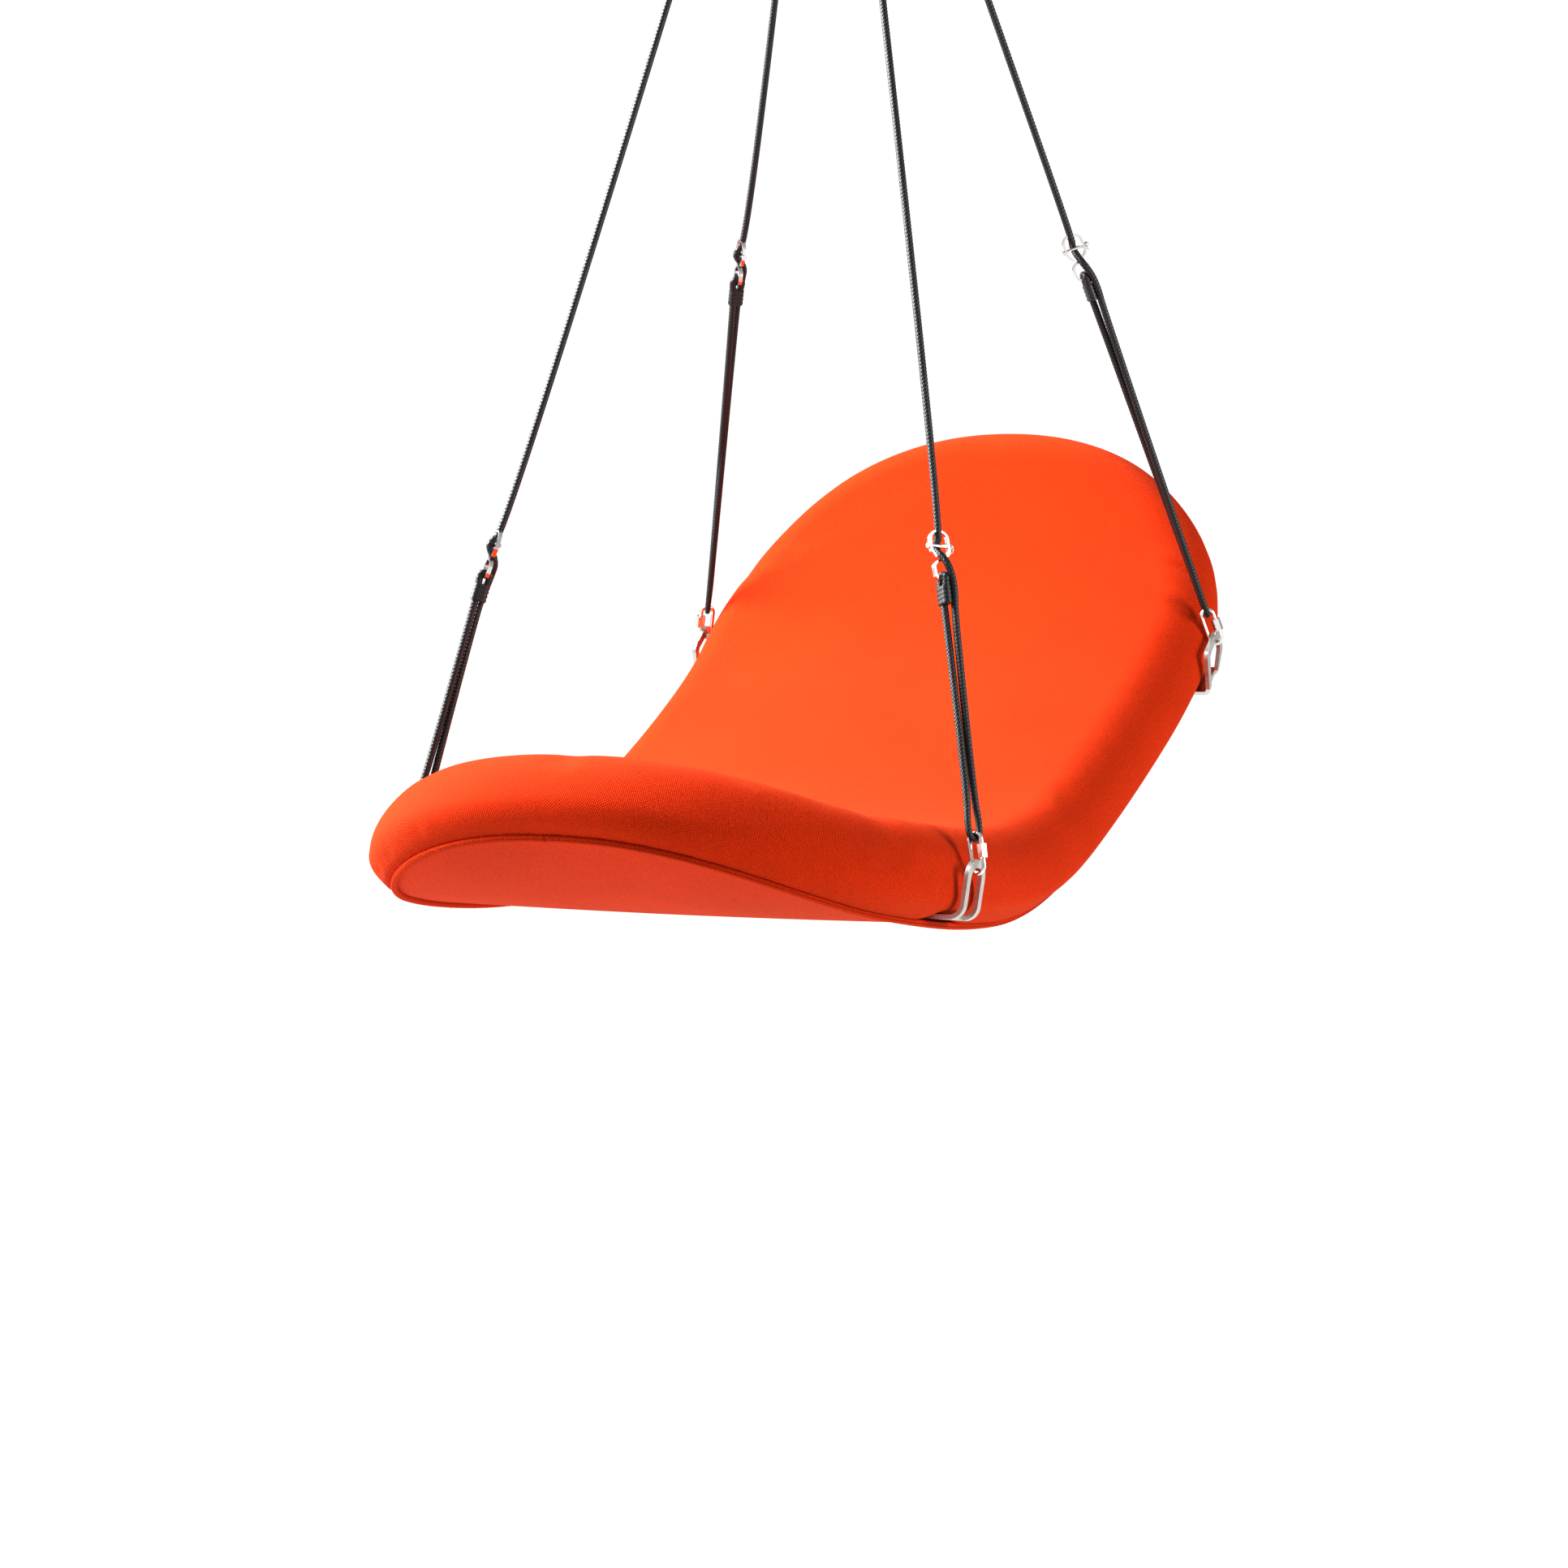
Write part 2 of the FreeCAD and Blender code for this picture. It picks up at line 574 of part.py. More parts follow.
# ---- the seat's shape ------------------------------------------------------------------------
def profile_at(distance):
    """Position and direction of the seat's underside line at a distance from the front tip."""
    y, z = size("seat_start_y"), size("seat_start_z")
    step = size("seat_length") / (len(PROFILE_DIRECTIONS) - 1)
    for first, last in zip(PROFILE_DIRECTIONS, PROFILE_DIRECTIONS[1:]):
        begin = math.radians(first)
        bend = (math.radians(last) - begin) / step
        run = min(distance, step)
        end = begin + bend * run
        y += (math.sin(end) - math.sin(begin)) / bend
        z += (math.cos(begin) - math.cos(end)) / bend
        distance -= run
        if distance <= 0:
            break
    return y, z, end


def half_width(distance, inset=0):
    """Half the seat's width: a rounded front, a slim waist and a rounded back."""
    front = size("seat_front_end")
    back = size("seat_back_end")
    total = size("seat_length")
    share = min(max((distance - front) / (total - front - back), 0), 1)
    width = size("seat_half_front") * (1 - share) + size("seat_half_back") * share
    width -= size("seat_waist") * 4 * share * (1 - share) + inset
    if distance < front:
        reach = (front - distance) / (front - inset)
        power = size("seat_front_power")
    elif distance > total - back:
        reach = (distance - total + back) / (back - inset)
        power = size("seat_back_power")
    else:
        return width
    return width * (1 - min(reach, 1) ** power) ** (1 / power)


def seat_point(across, distance, height):
    y, z, direction = profile_at(distance)
    return Vector(across, y - math.sin(direction) * height, z + math.cos(direction) * height)


def stations(inset):
    """Distances along the seat: close together at its round ends, wider apart between."""
    total = size("seat_length")
    end_steps = [2, 9, 22, 42, 70, 110, 165, 235, 315]
    front = [inset + step for step in end_steps]
    back = [total - inset - step for step in reversed(end_steps)]
    spans = 9
    middle = [front[-1] + (back[0] - front[-1]) * i / spans for i in range(1, spans)]
    return front + middle + back


def quarter(part):
    """Height share of a quarter-round edge, for a share of the way in from its rim."""
    return math.sqrt(1 - (1 - min(part, 1)) ** 2)


def fullness(distance):
    """The cushion's height share: full at the front, thinner by steady steps at the back."""
    part = min(max((distance - size("thin_from")) / size("thin_over"), 0), 1)
    return 1 + (size("cushion_back_share") - 1) * part * part * (3 - 2 * part)


def cushion_section(distance, grow):
    """One cross-section of the cushion: flat below, rolled edges, a slight crown on top."""
    share = fullness(distance)
    bulge = size("cushion_bulge_height") * share
    from_tip = min(distance, size("seat_length") - distance) + grow
    width = half_width(distance, -grow)
    low_roll = size("cushion_low_roll") + grow
    top_roll = size("cushion_top_roll") + grow
    full = size("cushion_height") * share + grow
    high = bulge + (full - bulge) * quarter(from_tip / top_roll)
    low = bulge - (bulge + grow) * quarter(from_tip / low_roll)
    crown = size("cushion_crown") * share * quarter(width / size("seat_half_front"))
    low_roll = min(low_roll, 0.55 * width)
    top_roll = min(top_roll, 0.6 * width)
    seam = width - low_roll
    side = [
        (seam, low), (seam + 0.45 * low_roll, low + 0.1 * (bulge - low)),
        (width - 0.12 * low_roll, low + 0.52 * (bulge - low)), (width, bulge),
        (width - 0.1 * top_roll, bulge + 0.45 * (high - bulge)),
        (width - 0.4 * top_roll, bulge + 0.82 * (high - bulge)), (width - top_roll, high),
    ]
    top = [side[-1], (0.5 * (width - top_roll), high + 0.8 * crown), (0, high + crown)]
    top += [(-x, h) for x, h in reversed(top[:-1])]
    other_side = [(-x, h) for x, h in reversed(side)]
    runs = [side, top, other_side, [other_side[-1], side[0]]]
    return [[seat_point(x, distance, h) for x, h in run] for run in runs]


def smooth_edge(points):
    curve = Part.BSplineCurve()
    last = len(points) - 1
    curve.interpolate(Points=points, Parameters=[i / last for i in range(last + 1)])
    return curve.toShape()


def cushion_solid(grow):
    """The cushion as a loft of its cross-sections, each made of two sides, a top and a base."""
    sections = []
    for distance in stations(-grow):
        runs = cushion_section(distance, grow)
        sections.append(Part.Wire([smooth_edge(points) for points in runs]))
    return Part.makeLoft(sections, True, False)


def layer(inset, low, high):
    """A flat layer of the seat between two heights, bent to its profile."""
    sections = []
    for distance in stations(inset):
        width = half_width(distance, inset)
        corners = [seat_point(x, distance, h) for x, h in
                   ((-width, low), (width, low), (width, high), (-width, high))]
        sections.append(Part.makePolygon(corners + corners[:1]))
    return Part.makeLoft(sections, True, False)


# ---- brackets --------------------------------------------------------------------------------
# Where each pair meets the seat: distance from the seat's front tip, the plate's bend radius and
# how far its loop leans outwards from upright.
BRACKET_ENDS = {"front": (363, 12, 6), "back": (1208, 4, 0)}
# Each loop's outline, from its bend up to its rounded top. "top" and "reach" are measured to the
# link's lower bend, which hangs under the loop's top; the back loop leans up towards its rope.
LOOP_SHAPES = {
    "front": {"outline": ((-24, "bend"), (-24, "top"), (24, "top"), (24, "bend")),
              "rounds": (0, 21, 21, 0),
              "slot": ((-14.5, "under"), (-14.5, "crest"), (14.5, "crest"), (14.5, "under")),
              "slot_rounds": (1, 12, 12, 1)},
    "back": {"outline": ((-24, "bend"), (-4, "top"), ("reach", "top"), ("reach", "heel"),
                         (24, "bend")),
             "rounds": (0, 13, 12, 9, 0),
             "slot": ((-14, "under"), (-14, "bend"), (3, "crest"), ("slot_reach", "crest"),
                      ("slot_reach", "slot_heel"), (14.5, "bend"), (14.5, "under")),
             "slot_rounds": (1, 6, 6, 6, 6, 4, 1)},
}


class BracketPlace:
    """Where a bracket meets the seat, and the hanging point in the bracket's own plane."""

    def __init__(self, corner):
        line = RopeLine(corner)
        self.end = corner.split("_")[0]
        station, self.bend, self.lean = BRACKET_ENDS[self.end]
        y, z, direction = profile_at(station)
        self.along = Vector(0, math.cos(direction), math.sin(direction))
        self.out = Vector(0, -math.sin(direction), math.cos(direction))
        self.base = Vector(0, y, z)
        self.low = size("shell_low") - 0.2 - size("bracket_thick")
        self.high = size("shell_low") - 0.2
        pivot_out = self.high + self.bend
        lean = math.radians(self.lean)
        held = line.hanging_point(size("link_hang"))
        held_out = (held - self.base).dot(self.out) - pivot_out
        held_in = self.bend + size("bracket_thick") / 2
        self.side = 1 if held.x > 0 else -1
        self.bend_x = abs(held.x) - (held_in + held_out * math.sin(lean)) / math.cos(lean)
        self.plate_x = self.bend_x + self.bend
        self.pivot = self.point(self.bend_x, 0, pivot_out)
        hang = line.hanging_point() - self.base
        hang_side = abs(hang.x) - self.bend_x
        hang_up = (hang.dot(self.out) - pivot_out) * math.cos(lean) + hang_side * math.sin(lean)
        crest = pivot_out + hang_up + size("link_wire_radius") + 2.8
        slot_reach = hang.dot(self.along) + 5
        self.levels = {"bend": pivot_out, "under": self.low - 1, "crest": crest,
                       "top": crest + size("bracket_limb"), "heel": pivot_out + 10,
                       "slot_heel": pivot_out + 15, "slot_reach": slot_reach,
                       "reach": slot_reach + size("bracket_limb")}

    def point(self, x, along, out):
        return self.base + X_AXIS * x + self.along * along + self.out * out

    def loop_solid(self, name, rounds, x, thick):
        """An outline of the loop as a plate, leaning outwards about the bend's axis."""
        level = self.levels
        corners = [self.point(x, level.get(a, a), level.get(o, o))
                   for a, o in LOOP_SHAPES[self.end][name]]
        face = rounded_face(corners, LOOP_SHAPES[self.end][rounds])
        solid = face.extrude(X_AXIS * thick)
        return solid.rotate(self.pivot, self.along, self.lean)


def plate_block(place, x_low, x_high, half, low, high):
    """A block on the seat's tangent plane, between two distances from the middle."""
    corners = [place.point(x_low, a, o) for a, o in
               ((-half, low), (half, low), (half, high), (-half, high))]
    return Part.Face(Part.makePolygon(corners + corners[:1])).extrude(X_AXIS * (x_high - x_low))


def bracket_shape(place):
    """A strip that lies under the shell, bends outwards and up, and ends in a slotted loop."""
    thick = size("bracket_thick")
    half = size("bracket_width") / 2
    bend_x = place.bend_x
    tail = plate_block(place, bend_x - size("bracket_tail"), bend_x, half, place.low, place.high)
    end_face = min(tail.Faces, key=lambda f: abs(f.CenterOfMass.x - bend_x))
    elbow = end_face.revolve(place.pivot, place.along, place.lean - 90)
    loop = place.loop_solid("outline", "rounds", place.plate_x, thick)
    slot = place.loop_solid("slot", "slot_rounds", bend_x + 3, thick + 40)
    solid = tail.fuse([elbow, loop]).removeSplitter().cut(slot)
    for x in screw_rows(place):
        solid = solid.cut(screw_solid(place, x, 0.15))
    return solid


def screw_rows(place):
    outer = place.bend_x - size("bracket_hole_inset")
    return outer, outer - size("bracket_hole_pitch")


def screw_solid(place, x, grow=0.0):
    """A countersunk screw, driven from below through the bracket into the shell."""
    head = size("screw_head_radius")
    shank = size("screw_radius")
    start = place.point(x, 0, place.low)
    cone = Part.makeCone(head + grow, shank + grow, head - shank, start, place.out)
    return cone.fuse(Part.makeCylinder(shank + grow, size("screw_length"), start, place.out))


def tee_nut_solid(place, x, grow=0.0):
    """A pressed-in threaded bush with its flange on the shell's upper face."""
    top = size("shell_low") + size("shell_thick") - 0.4
    flange = size("tee_nut_flange_thick")
    barrel = Part.makeCylinder(size("tee_nut_radius") + grow, size("tee_nut_length") + 2 * grow,
                               place.point(x, 0, top - size("tee_nut_length") - grow), place.out)
    rim = Part.makeCylinder(size("tee_nut_flange_radius") + grow, flange + 2 * grow,
                            place.point(x, 0, top - flange - grow), place.out)
    return barrel.fuse(rim)


def mirrored(shape, side):
    return shape if side > 0 else shape.mirror(Vector(), X_AXIS)


def tails_swollen(places, grow):
    """The four bracket tails, slightly swollen: what the layers around them leave free."""
    blocks = []
    for place in places:
        half = size("bracket_width") / 2 + grow
        inner_end = place.bend_x - size("bracket_tail") - grow
        block = plate_block(place, inner_end, place.plate_x + 60, half,
                            place.low - grow, place.high + grow)
        blocks.append(mirrored(block, place.side))
    return blocks


# ---- the seat's layers ------------------------------------------------------------------------
def upholstered_seat():
    places = [BracketPlace(corner) for corner in CORNERS]
    for corner, place in zip(CORNERS, places):
        feature("bracket_" + corner, mirrored(bracket_shape(place), place.side))
    screws = [mirrored(screw_solid(p, x), p.side) for p in places for x in screw_rows(p)]
    nuts = [mirrored(tee_nut_solid(p, x).cut(screw_solid(p, x)), p.side)
            for p in places for x in screw_rows(p)]
    holes = [mirrored(tee_nut_solid(p, x, 0.05), p.side) for p in places for x in screw_rows(p)]
    bores = [mirrored(screw_solid(p, x, 0.1), p.side) for p in places for x in screw_rows(p)]
    feature("bracket_screws", Part.makeCompound(screws))
    feature("tee_nuts", Part.makeCompound(nuts))

    roll = size("cushion_low_roll")
    shell_low = size("shell_low")
    shell_high = shell_low + size("shell_thick")
    tails = tails_swollen(places, 0.2)
    shell = layer(roll + 3, shell_low, shell_high).cut(tails + holes + bores)
    feature("seat_shell", shell)

    inner = cushion_solid(0)
    foam = inner.cut([layer(roll + 1, -9, shell_high + 0.2)] + tails)
    feature("foam_pad", foam)
    outer = cushion_solid(size("cover_thick"))
    cover = outer.cut([inner, layer(roll + 1.5, -9, shell_high)] + tails)
    feature("top_cover", cover)
    padding = layer(roll + 4, size("panel_thick") + 0.1, shell_low - 0.4).cut(tails)
    feature("underside_padding", padding)
    feature("underside_panel", layer(roll + 2.5, 0, size("panel_thick")))


def piping():
    """The cord sewn into the seam between the cover and the underside panel, all the way round."""
    inset = size("cushion_low_roll") - 1
    total = size("seat_length")
    count = 80
    points = []
    for i in range(count + 1):
        turn = math.pi * (2 * i / count - 1) * 0.9995
        distance = total / 2 + (total / 2 - inset) * math.cos(turn)
        across = half_width(distance, inset) * (-1 if turn < 0 else 1)
        points.append(seat_point(across, distance, size("piping_height")))
    solid, length, radii = tube(points, size("piping_radius"))
    print("piping: %.0f mm long, smallest radius %.0f" % (length, min(radii)))
    feature("piping", solid)


def check_and_export():
    doc.recompute()
    for obj in doc.Objects:
        if any(flag in obj.State for flag in ("Invalid", "Error")):
            raise RuntimeError("%s did not compute" % obj.Label)
    os.makedirs("parts", exist_ok=True)
    for name, obj in PARTS.items():
        shape = obj.Shape
        if shape.isNull() or not shape.isValid() or shape.Volume <= 0:
            raise RuntimeError("%s has no valid solid" % name)
        print("%-34s %d solid(s) %10.0f mm3" % (name, len(shape.Solids), shape.Volume))
        shape.exportStep("parts/%s.step" % name)


ceiling_plate()
ceiling_fork()
fork_pin()
swivel()
rope_ring()
for corner_name in CORNERS:
    hanging_line(corner_name)
upholstered_seat()
piping()
check_and_export()
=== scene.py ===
import bpy
import json
import math
import numpy as np
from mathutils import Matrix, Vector


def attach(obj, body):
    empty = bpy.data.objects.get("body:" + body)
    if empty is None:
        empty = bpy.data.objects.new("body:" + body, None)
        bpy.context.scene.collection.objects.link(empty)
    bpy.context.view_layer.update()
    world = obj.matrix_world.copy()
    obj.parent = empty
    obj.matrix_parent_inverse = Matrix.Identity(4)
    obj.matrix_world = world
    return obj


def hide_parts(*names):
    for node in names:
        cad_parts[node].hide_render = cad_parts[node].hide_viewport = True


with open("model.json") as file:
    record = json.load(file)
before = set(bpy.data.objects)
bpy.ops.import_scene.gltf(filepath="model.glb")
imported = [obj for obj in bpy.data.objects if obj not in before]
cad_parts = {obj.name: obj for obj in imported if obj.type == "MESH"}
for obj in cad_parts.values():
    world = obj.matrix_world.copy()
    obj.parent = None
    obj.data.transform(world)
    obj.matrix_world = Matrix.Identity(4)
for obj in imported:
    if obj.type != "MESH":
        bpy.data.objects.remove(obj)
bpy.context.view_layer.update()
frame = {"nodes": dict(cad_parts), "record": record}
nodes = frame["nodes"]

MM = 0.001
CORNERS = ("front_left", "front_right", "back_left", "back_right")
SEAT = "seat"


# ---- camera, light and floor -----------------------------------------------------------------
CAMERA_TURN, CAMERA_PITCH = 25.018, 3.424
CAMERA_DISTANCE, CAMERA_LENS = 4.847, 93.17


def make_camera():
    """The camera, turned and pitched in degrees about a target near the seat."""
    turn, pitch = math.radians(CAMERA_TURN), math.radians(CAMERA_PITCH)
    ahead = Vector((-math.sin(turn) * math.cos(pitch), math.cos(turn) * math.cos(pitch),
                    -math.sin(pitch)))
    right = Vector((math.cos(turn), math.sin(turn), 0))
    target = right * -0.052 + Vector((0, 0.006, -1.557))
    camera = bpy.data.objects.new("camera", bpy.data.cameras.new("camera"))
    camera.location = target - ahead * CAMERA_DISTANCE
    camera.rotation_euler = ahead.to_track_quat("-Z", "Y").to_euler()
    camera.data.sensor_width = 36
    camera.data.lens = CAMERA_LENS
    camera.data.clip_end = 100
    bpy.context.collection.objects.link(camera)
    bpy.context.scene.camera = camera


def area_light(name, place, target, side, power):
    """A square lamp of a given side in metres and power in watts."""
    light = bpy.data.lights.new(name, "AREA")
    light.shape = "RECTANGLE"
    light.size = light.size_y = side
    light.energy = power
    lamp = bpy.data.objects.new(name, light)
    lamp.location = place
    lamp.rotation_euler = (Vector(target) - Vector(place)).to_track_quat("-Z", "Y").to_euler()
    bpy.context.collection.objects.link(lamp)


LIGHT_TARGET = (0, 0, -1.5)
FLOOR_LEVEL, FLOOR_HALF_SIDE = -2.5, 40


def make_studio():
    """White surroundings for the camera, and soft light from the upper left and the floor."""
    scene = bpy.context.scene
    scene.view_settings.view_transform = "Standard"
    scene.view_settings.gamma = 0.87
    world = bpy.data.worlds.new("studio")
    world.use_nodes = True
    tree = world.node_tree
    dim = tree.nodes["Background"]
    dim.inputs["Color"].default_value = (1, 1, 1, 1)
    dim.inputs["Strength"].default_value = 0.10
    backdrop = tree.nodes.new("ShaderNodeBackground")
    backdrop.inputs["Color"].default_value = (1, 1, 1, 1)
    backdrop.inputs["Strength"].default_value = 1.05
    chooser = tree.nodes.new("ShaderNodeMixShader")
    seen = tree.nodes.new("ShaderNodeLightPath")
    half = tree.nodes.new("ShaderNodeMath")
    half.operation = "MULTIPLY_ADD"
    half.inputs[1].default_value = 0.4
    tree.links.new(seen.outputs["Is Glossy Ray"], half.inputs[0])
    tree.links.new(seen.outputs["Is Camera Ray"], half.inputs[2])
    tree.links.new(half.outputs[0], chooser.inputs[0])
    tree.links.new(dim.outputs[0], chooser.inputs[1])
    tree.links.new(backdrop.outputs[0], chooser.inputs[2])
    tree.links.new(chooser.outputs[0], tree.nodes["World Output"].inputs["Surface"])
    scene.world = world
    area_light("key", (-3.4, -0.9, 1.0), LIGHT_TARGET, 3.2, 1040)
    area_light("fill", (3.6, 0.1, -0.5), LIGHT_TARGET, 1.6, 105)

    size = FLOOR_HALF_SIDE
    floor_mesh = bpy.data.meshes.new("floor")
    floor_mesh.from_pydata([(-size, -size, 0), (size, -size, 0), (size, size, 0), (-size, size, 0)],
                           [], [(0, 1, 2, 3)])
    floor = bpy.data.objects.new("floor", floor_mesh)
    floor.location = (0, 0, FLOOR_LEVEL)
    bpy.context.collection.objects.link(floor)
    finish = bpy.data.materials.new("floor_pale")
    finish.use_nodes = True
    shader = finish.node_tree.nodes["Principled BSDF"]
    shader.inputs["Base Color"].default_value = (0.06, 0.06, 0.06, 1)
    shader.inputs["Roughness"].default_value = 0.9
    shader.inputs["Emission Color"].default_value = (1, 1, 1, 1)
    shader.inputs["Emission Strength"].default_value = 1.0
    floor_mesh.materials.append(finish)


# ---- materials -------------------------------------------------------------------------------
class Finish:
    """A procedural material: a few node helpers round one principled shader."""

    def __init__(self, name, colour, roughness, metallic=0.0):
        self.material = bpy.data.materials.new(name)
        self.material.use_nodes = True
        self.tree = self.material.node_tree
        self.shader = self.tree.nodes["Principled BSDF"]
        self.set("Base Color", (*colour, 1))
        self.set("Roughness", roughness)
        self.set("Metallic", metallic)

    def set(self, socket, value):
        self.shader.inputs[socket].default_value = value

    def node(self, kind, **values):
        made = self.tree.nodes.new(kind)
        for key, value in values.items():
            setattr(made, key, value)
        return made

    def link(self, source, target):
        self.tree.links.new(source, target)

    def coordinates(self, output="Object", scale=(1, 1, 1)):
        where = self.node("ShaderNodeTexCoord")
        mapping = self.node("ShaderNodeMapping")
        mapping.inputs["Scale"].default_value = scale
        self.link(where.outputs[output], mapping.inputs["Vector"])
        return mapping.outputs["Vector"]

    def noise(self, vector, scale, detail=3.0, roughness=0.55):
        made = self.node("ShaderNodeTexNoise")
        made.inputs["Scale"].default_value = scale
        made.inputs["Detail"].default_value = detail
        made.inputs["Roughness"].default_value = roughness
        self.link(vector, made.inputs["Vector"])
        return made.outputs["Fac"]

    def bands(self, output, pitch, turn):
        """Slanting bands at a pitch in metres, a little uneven."""
        made = self.node("ShaderNodeTexWave", wave_type="BANDS", bands_direction="DIAGONAL")
        vector = self.coordinates(output)
        vector.node.inputs["Rotation"].default_value = (0, 0, turn)
        self.link(vector, made.inputs["Vector"])
        made.inputs["Scale"].default_value = 0.444 / pitch
        made.inputs["Distortion"].default_value = 1.2
        made.inputs["Detail"].default_value = 2.0
        made.inputs["Detail Scale"].default_value = 0.6
        return made.outputs["Fac"]

    def ramp(self, factor, stops):
        made = self.node("ShaderNodeValToRGB")
        elements = made.color_ramp.elements
        while len(elements) < len(stops):
            elements.new(0.5)
        for element, (position, colour) in zip(elements, stops):
            element.position = position
            element.color = (*colour, 1)
        self.link(factor, made.inputs["Fac"])
        return made.outputs["Color"]

    def math(self, operation, first, second):
        made = self.node("ShaderNodeMath", operation=operation)
        for socket, value in zip(made.inputs, (first, second)):
            if isinstance(value, (int, float)):
                socket.default_value = value
            else:
                self.link(value, socket)
        return made.outputs["Value"]

    def bump(self, height, strength, distance, normal=None):
        made = self.node("ShaderNodeBump")
        made.inputs["Strength"].default_value = strength
        made.inputs["Distance"].default_value = distance
        self.link(height, made.inputs["Height"])
        if normal:
            self.link(normal, made.inputs["Normal"])
        return made.outputs["Normal"]

    def wear(self, normal):
        self.link(normal, self.shader.inputs["Normal"])


def scaled(colour, share):
    return tuple(min(c * share, 1) for c in colour)


def wool(name, colour, sheen, rib):
    """Woven wool: fine slanting ribs, flecked colour, a little nap and a soft sheen."""
    finish = Finish(name, colour, 0.93)
    where = finish.coordinates()
    ribs = finish.bands("UV", rib, 0)
    threads = finish.bands("UV", rib * 1.35, math.radians(90))
    fleck = finish.noise(where, 520, 4, 0.7)
    cloud = finish.noise(where, 5, 3)
    mixed = finish.math("ADD", finish.math("MULTIPLY", fleck, 0.72),
                        finish.math("MULTIPLY", cloud, 0.20))
    mixed = finish.math("ADD", mixed, finish.math("MULTIPLY", ribs, 0.16))
    tone = finish.ramp(mixed, [(0.36, scaled(colour, 0.74)), (0.53, colour),
                               (0.68, scaled(colour, 1.30))])
    finish.link(tone, finish.shader.inputs["Base Color"])
    weave = finish.math("ADD", finish.math("MULTIPLY", ribs, 0.65),
                        finish.math("MULTIPLY", threads, 0.35))
    woven = finish.bump(weave, 0.75, 0.0009)
    nap = finish.bump(finish.noise(where, 900, 5, 0.75), 0.30, 0.0004, woven)
    soft = finish.bump(finish.noise(where, 120, 3, 0.6), 0.15, 0.0006, nap)
    finish.wear(soft)
    finish.set("Sheen Weight", sheen)
    finish.set("Sheen Roughness", 0.45)
    finish.set("Sheen Tint", (1.0, 0.42, 0.16, 1))
    finish.set("Specular IOR Level", 0.08)
    return finish.material


def steel(name, colour, roughness, grain, scratch):
    """Steel with a fine grain along one direction, faint smudges and light scratches."""
    finish = Finish(name, colour, roughness, 1.0)
    where = finish.coordinates(scale=grain)
    lines = finish.noise(where, 180, 4, 0.6)
    smudge = finish.noise(finish.coordinates(), 38, 3)
    both = finish.math("ADD", finish.math("MULTIPLY", lines, 0.6),
                       finish.math("MULTIPLY", smudge, 0.4))
    dull = finish.ramp(both, [(0.35, (roughness * 0.75,) * 3), (0.65, (roughness * 1.35,) * 3)])
    finish.link(dull, finish.shader.inputs["Roughness"])
    tone = finish.ramp(smudge, [(0.3, scaled(colour, 0.88)), (0.7, scaled(colour, 1.06))])
    finish.link(tone, finish.shader.inputs["Base Color"])
    finish.wear(finish.bump(lines, scratch, 0.0002))
    return finish.material


def braid(name):
    """Black polyester braid: fine yarns along each plait, seen in the rope's own coordinates."""
    finish = Finish(name, (0.006, 0.006, 0.007), 0.40)
    where = finish.coordinates("UV", (1, 1, 1))
    yarn = finish.noise(where, 60, 4, 0.7)
    tone = finish.ramp(yarn, [(0.3, (0.002, 0.002, 0.002)), (0.7, (0.012, 0.012, 0.013))])
    finish.link(tone, finish.shader.inputs["Base Color"])
    finish.wear(finish.bump(yarn, 0.4, 0.0003))
    finish.set("Specular IOR Level", 0.45)
    return finish.material


def plain(name, colour, roughness, scale, strength):
    finish = Finish(name, colour, roughness)
    where = finish.coordinates()
    grain = finish.noise(where, scale, 4)
    tone = finish.ramp(grain, [(0.35, scaled(colour, 0.85)), (0.65, scaled(colour, 1.15))])
    finish.link(tone, finish.shader.inputs["Base Color"])
    finish.wear(finish.bump(grain, strength, 0.0005))
    return finish.material


COVER_COLOUR = (0.60, 0.033, 0.0022)
PANEL_COLOUR = (0.70, 0.050, 0.015)
LOOKS = {
    "cover_fabric": wool("cover_wool", COVER_COLOUR, 0.12, 0.0021),
    "panel_fabric": wool("panel_wool", PANEL_COLOUR, 0.15, 0.0016),
    "fitting_steel": steel("fitting_steel", (0.44, 0.44, 0.43), 0.32, (1, 1, 6), 0.2),
    "polished_steel": steel("polished_steel", (0.84, 0.83, 0.81), 0.20, (1, 1, 1), 0.08),
    "bracket_steel": steel("bracket_steel", (0.64, 0.62, 0.58), 0.30, (9, 1, 1), 0.25),
    "rope_braid": braid("rope_braid"),
    "crimp_black": plain("crimp_black", (0.012, 0.012, 0.013), 0.42, 260, 0.2),
    "shell_wood": plain("shell_wood", (0.42, 0.27, 0.14), 0.6, 60, 0.2),
    "foam": plain("foam", (0.80, 0.74, 0.58), 0.95, 400, 0.5),
}


def dress_cad_nodes():
    slots = {entry["node"]: entry["material_slot"] for entry in frame["record"]["subparts"]}
    for name, node in nodes.items():
        look = LOOKS[slots[name]]
        node.data.materials.clear()
        node.data.materials.append(look)
        if "steel" in slots[name] or slots[name] == "crimp_black":
            edge = node.modifiers.new("soft_edges", "BEVEL")
            edge.width = 0.35 * MM
            edge.segments = 2
            edge.limit_method = "ANGLE"
            edge.angle_limit = math.radians(40)


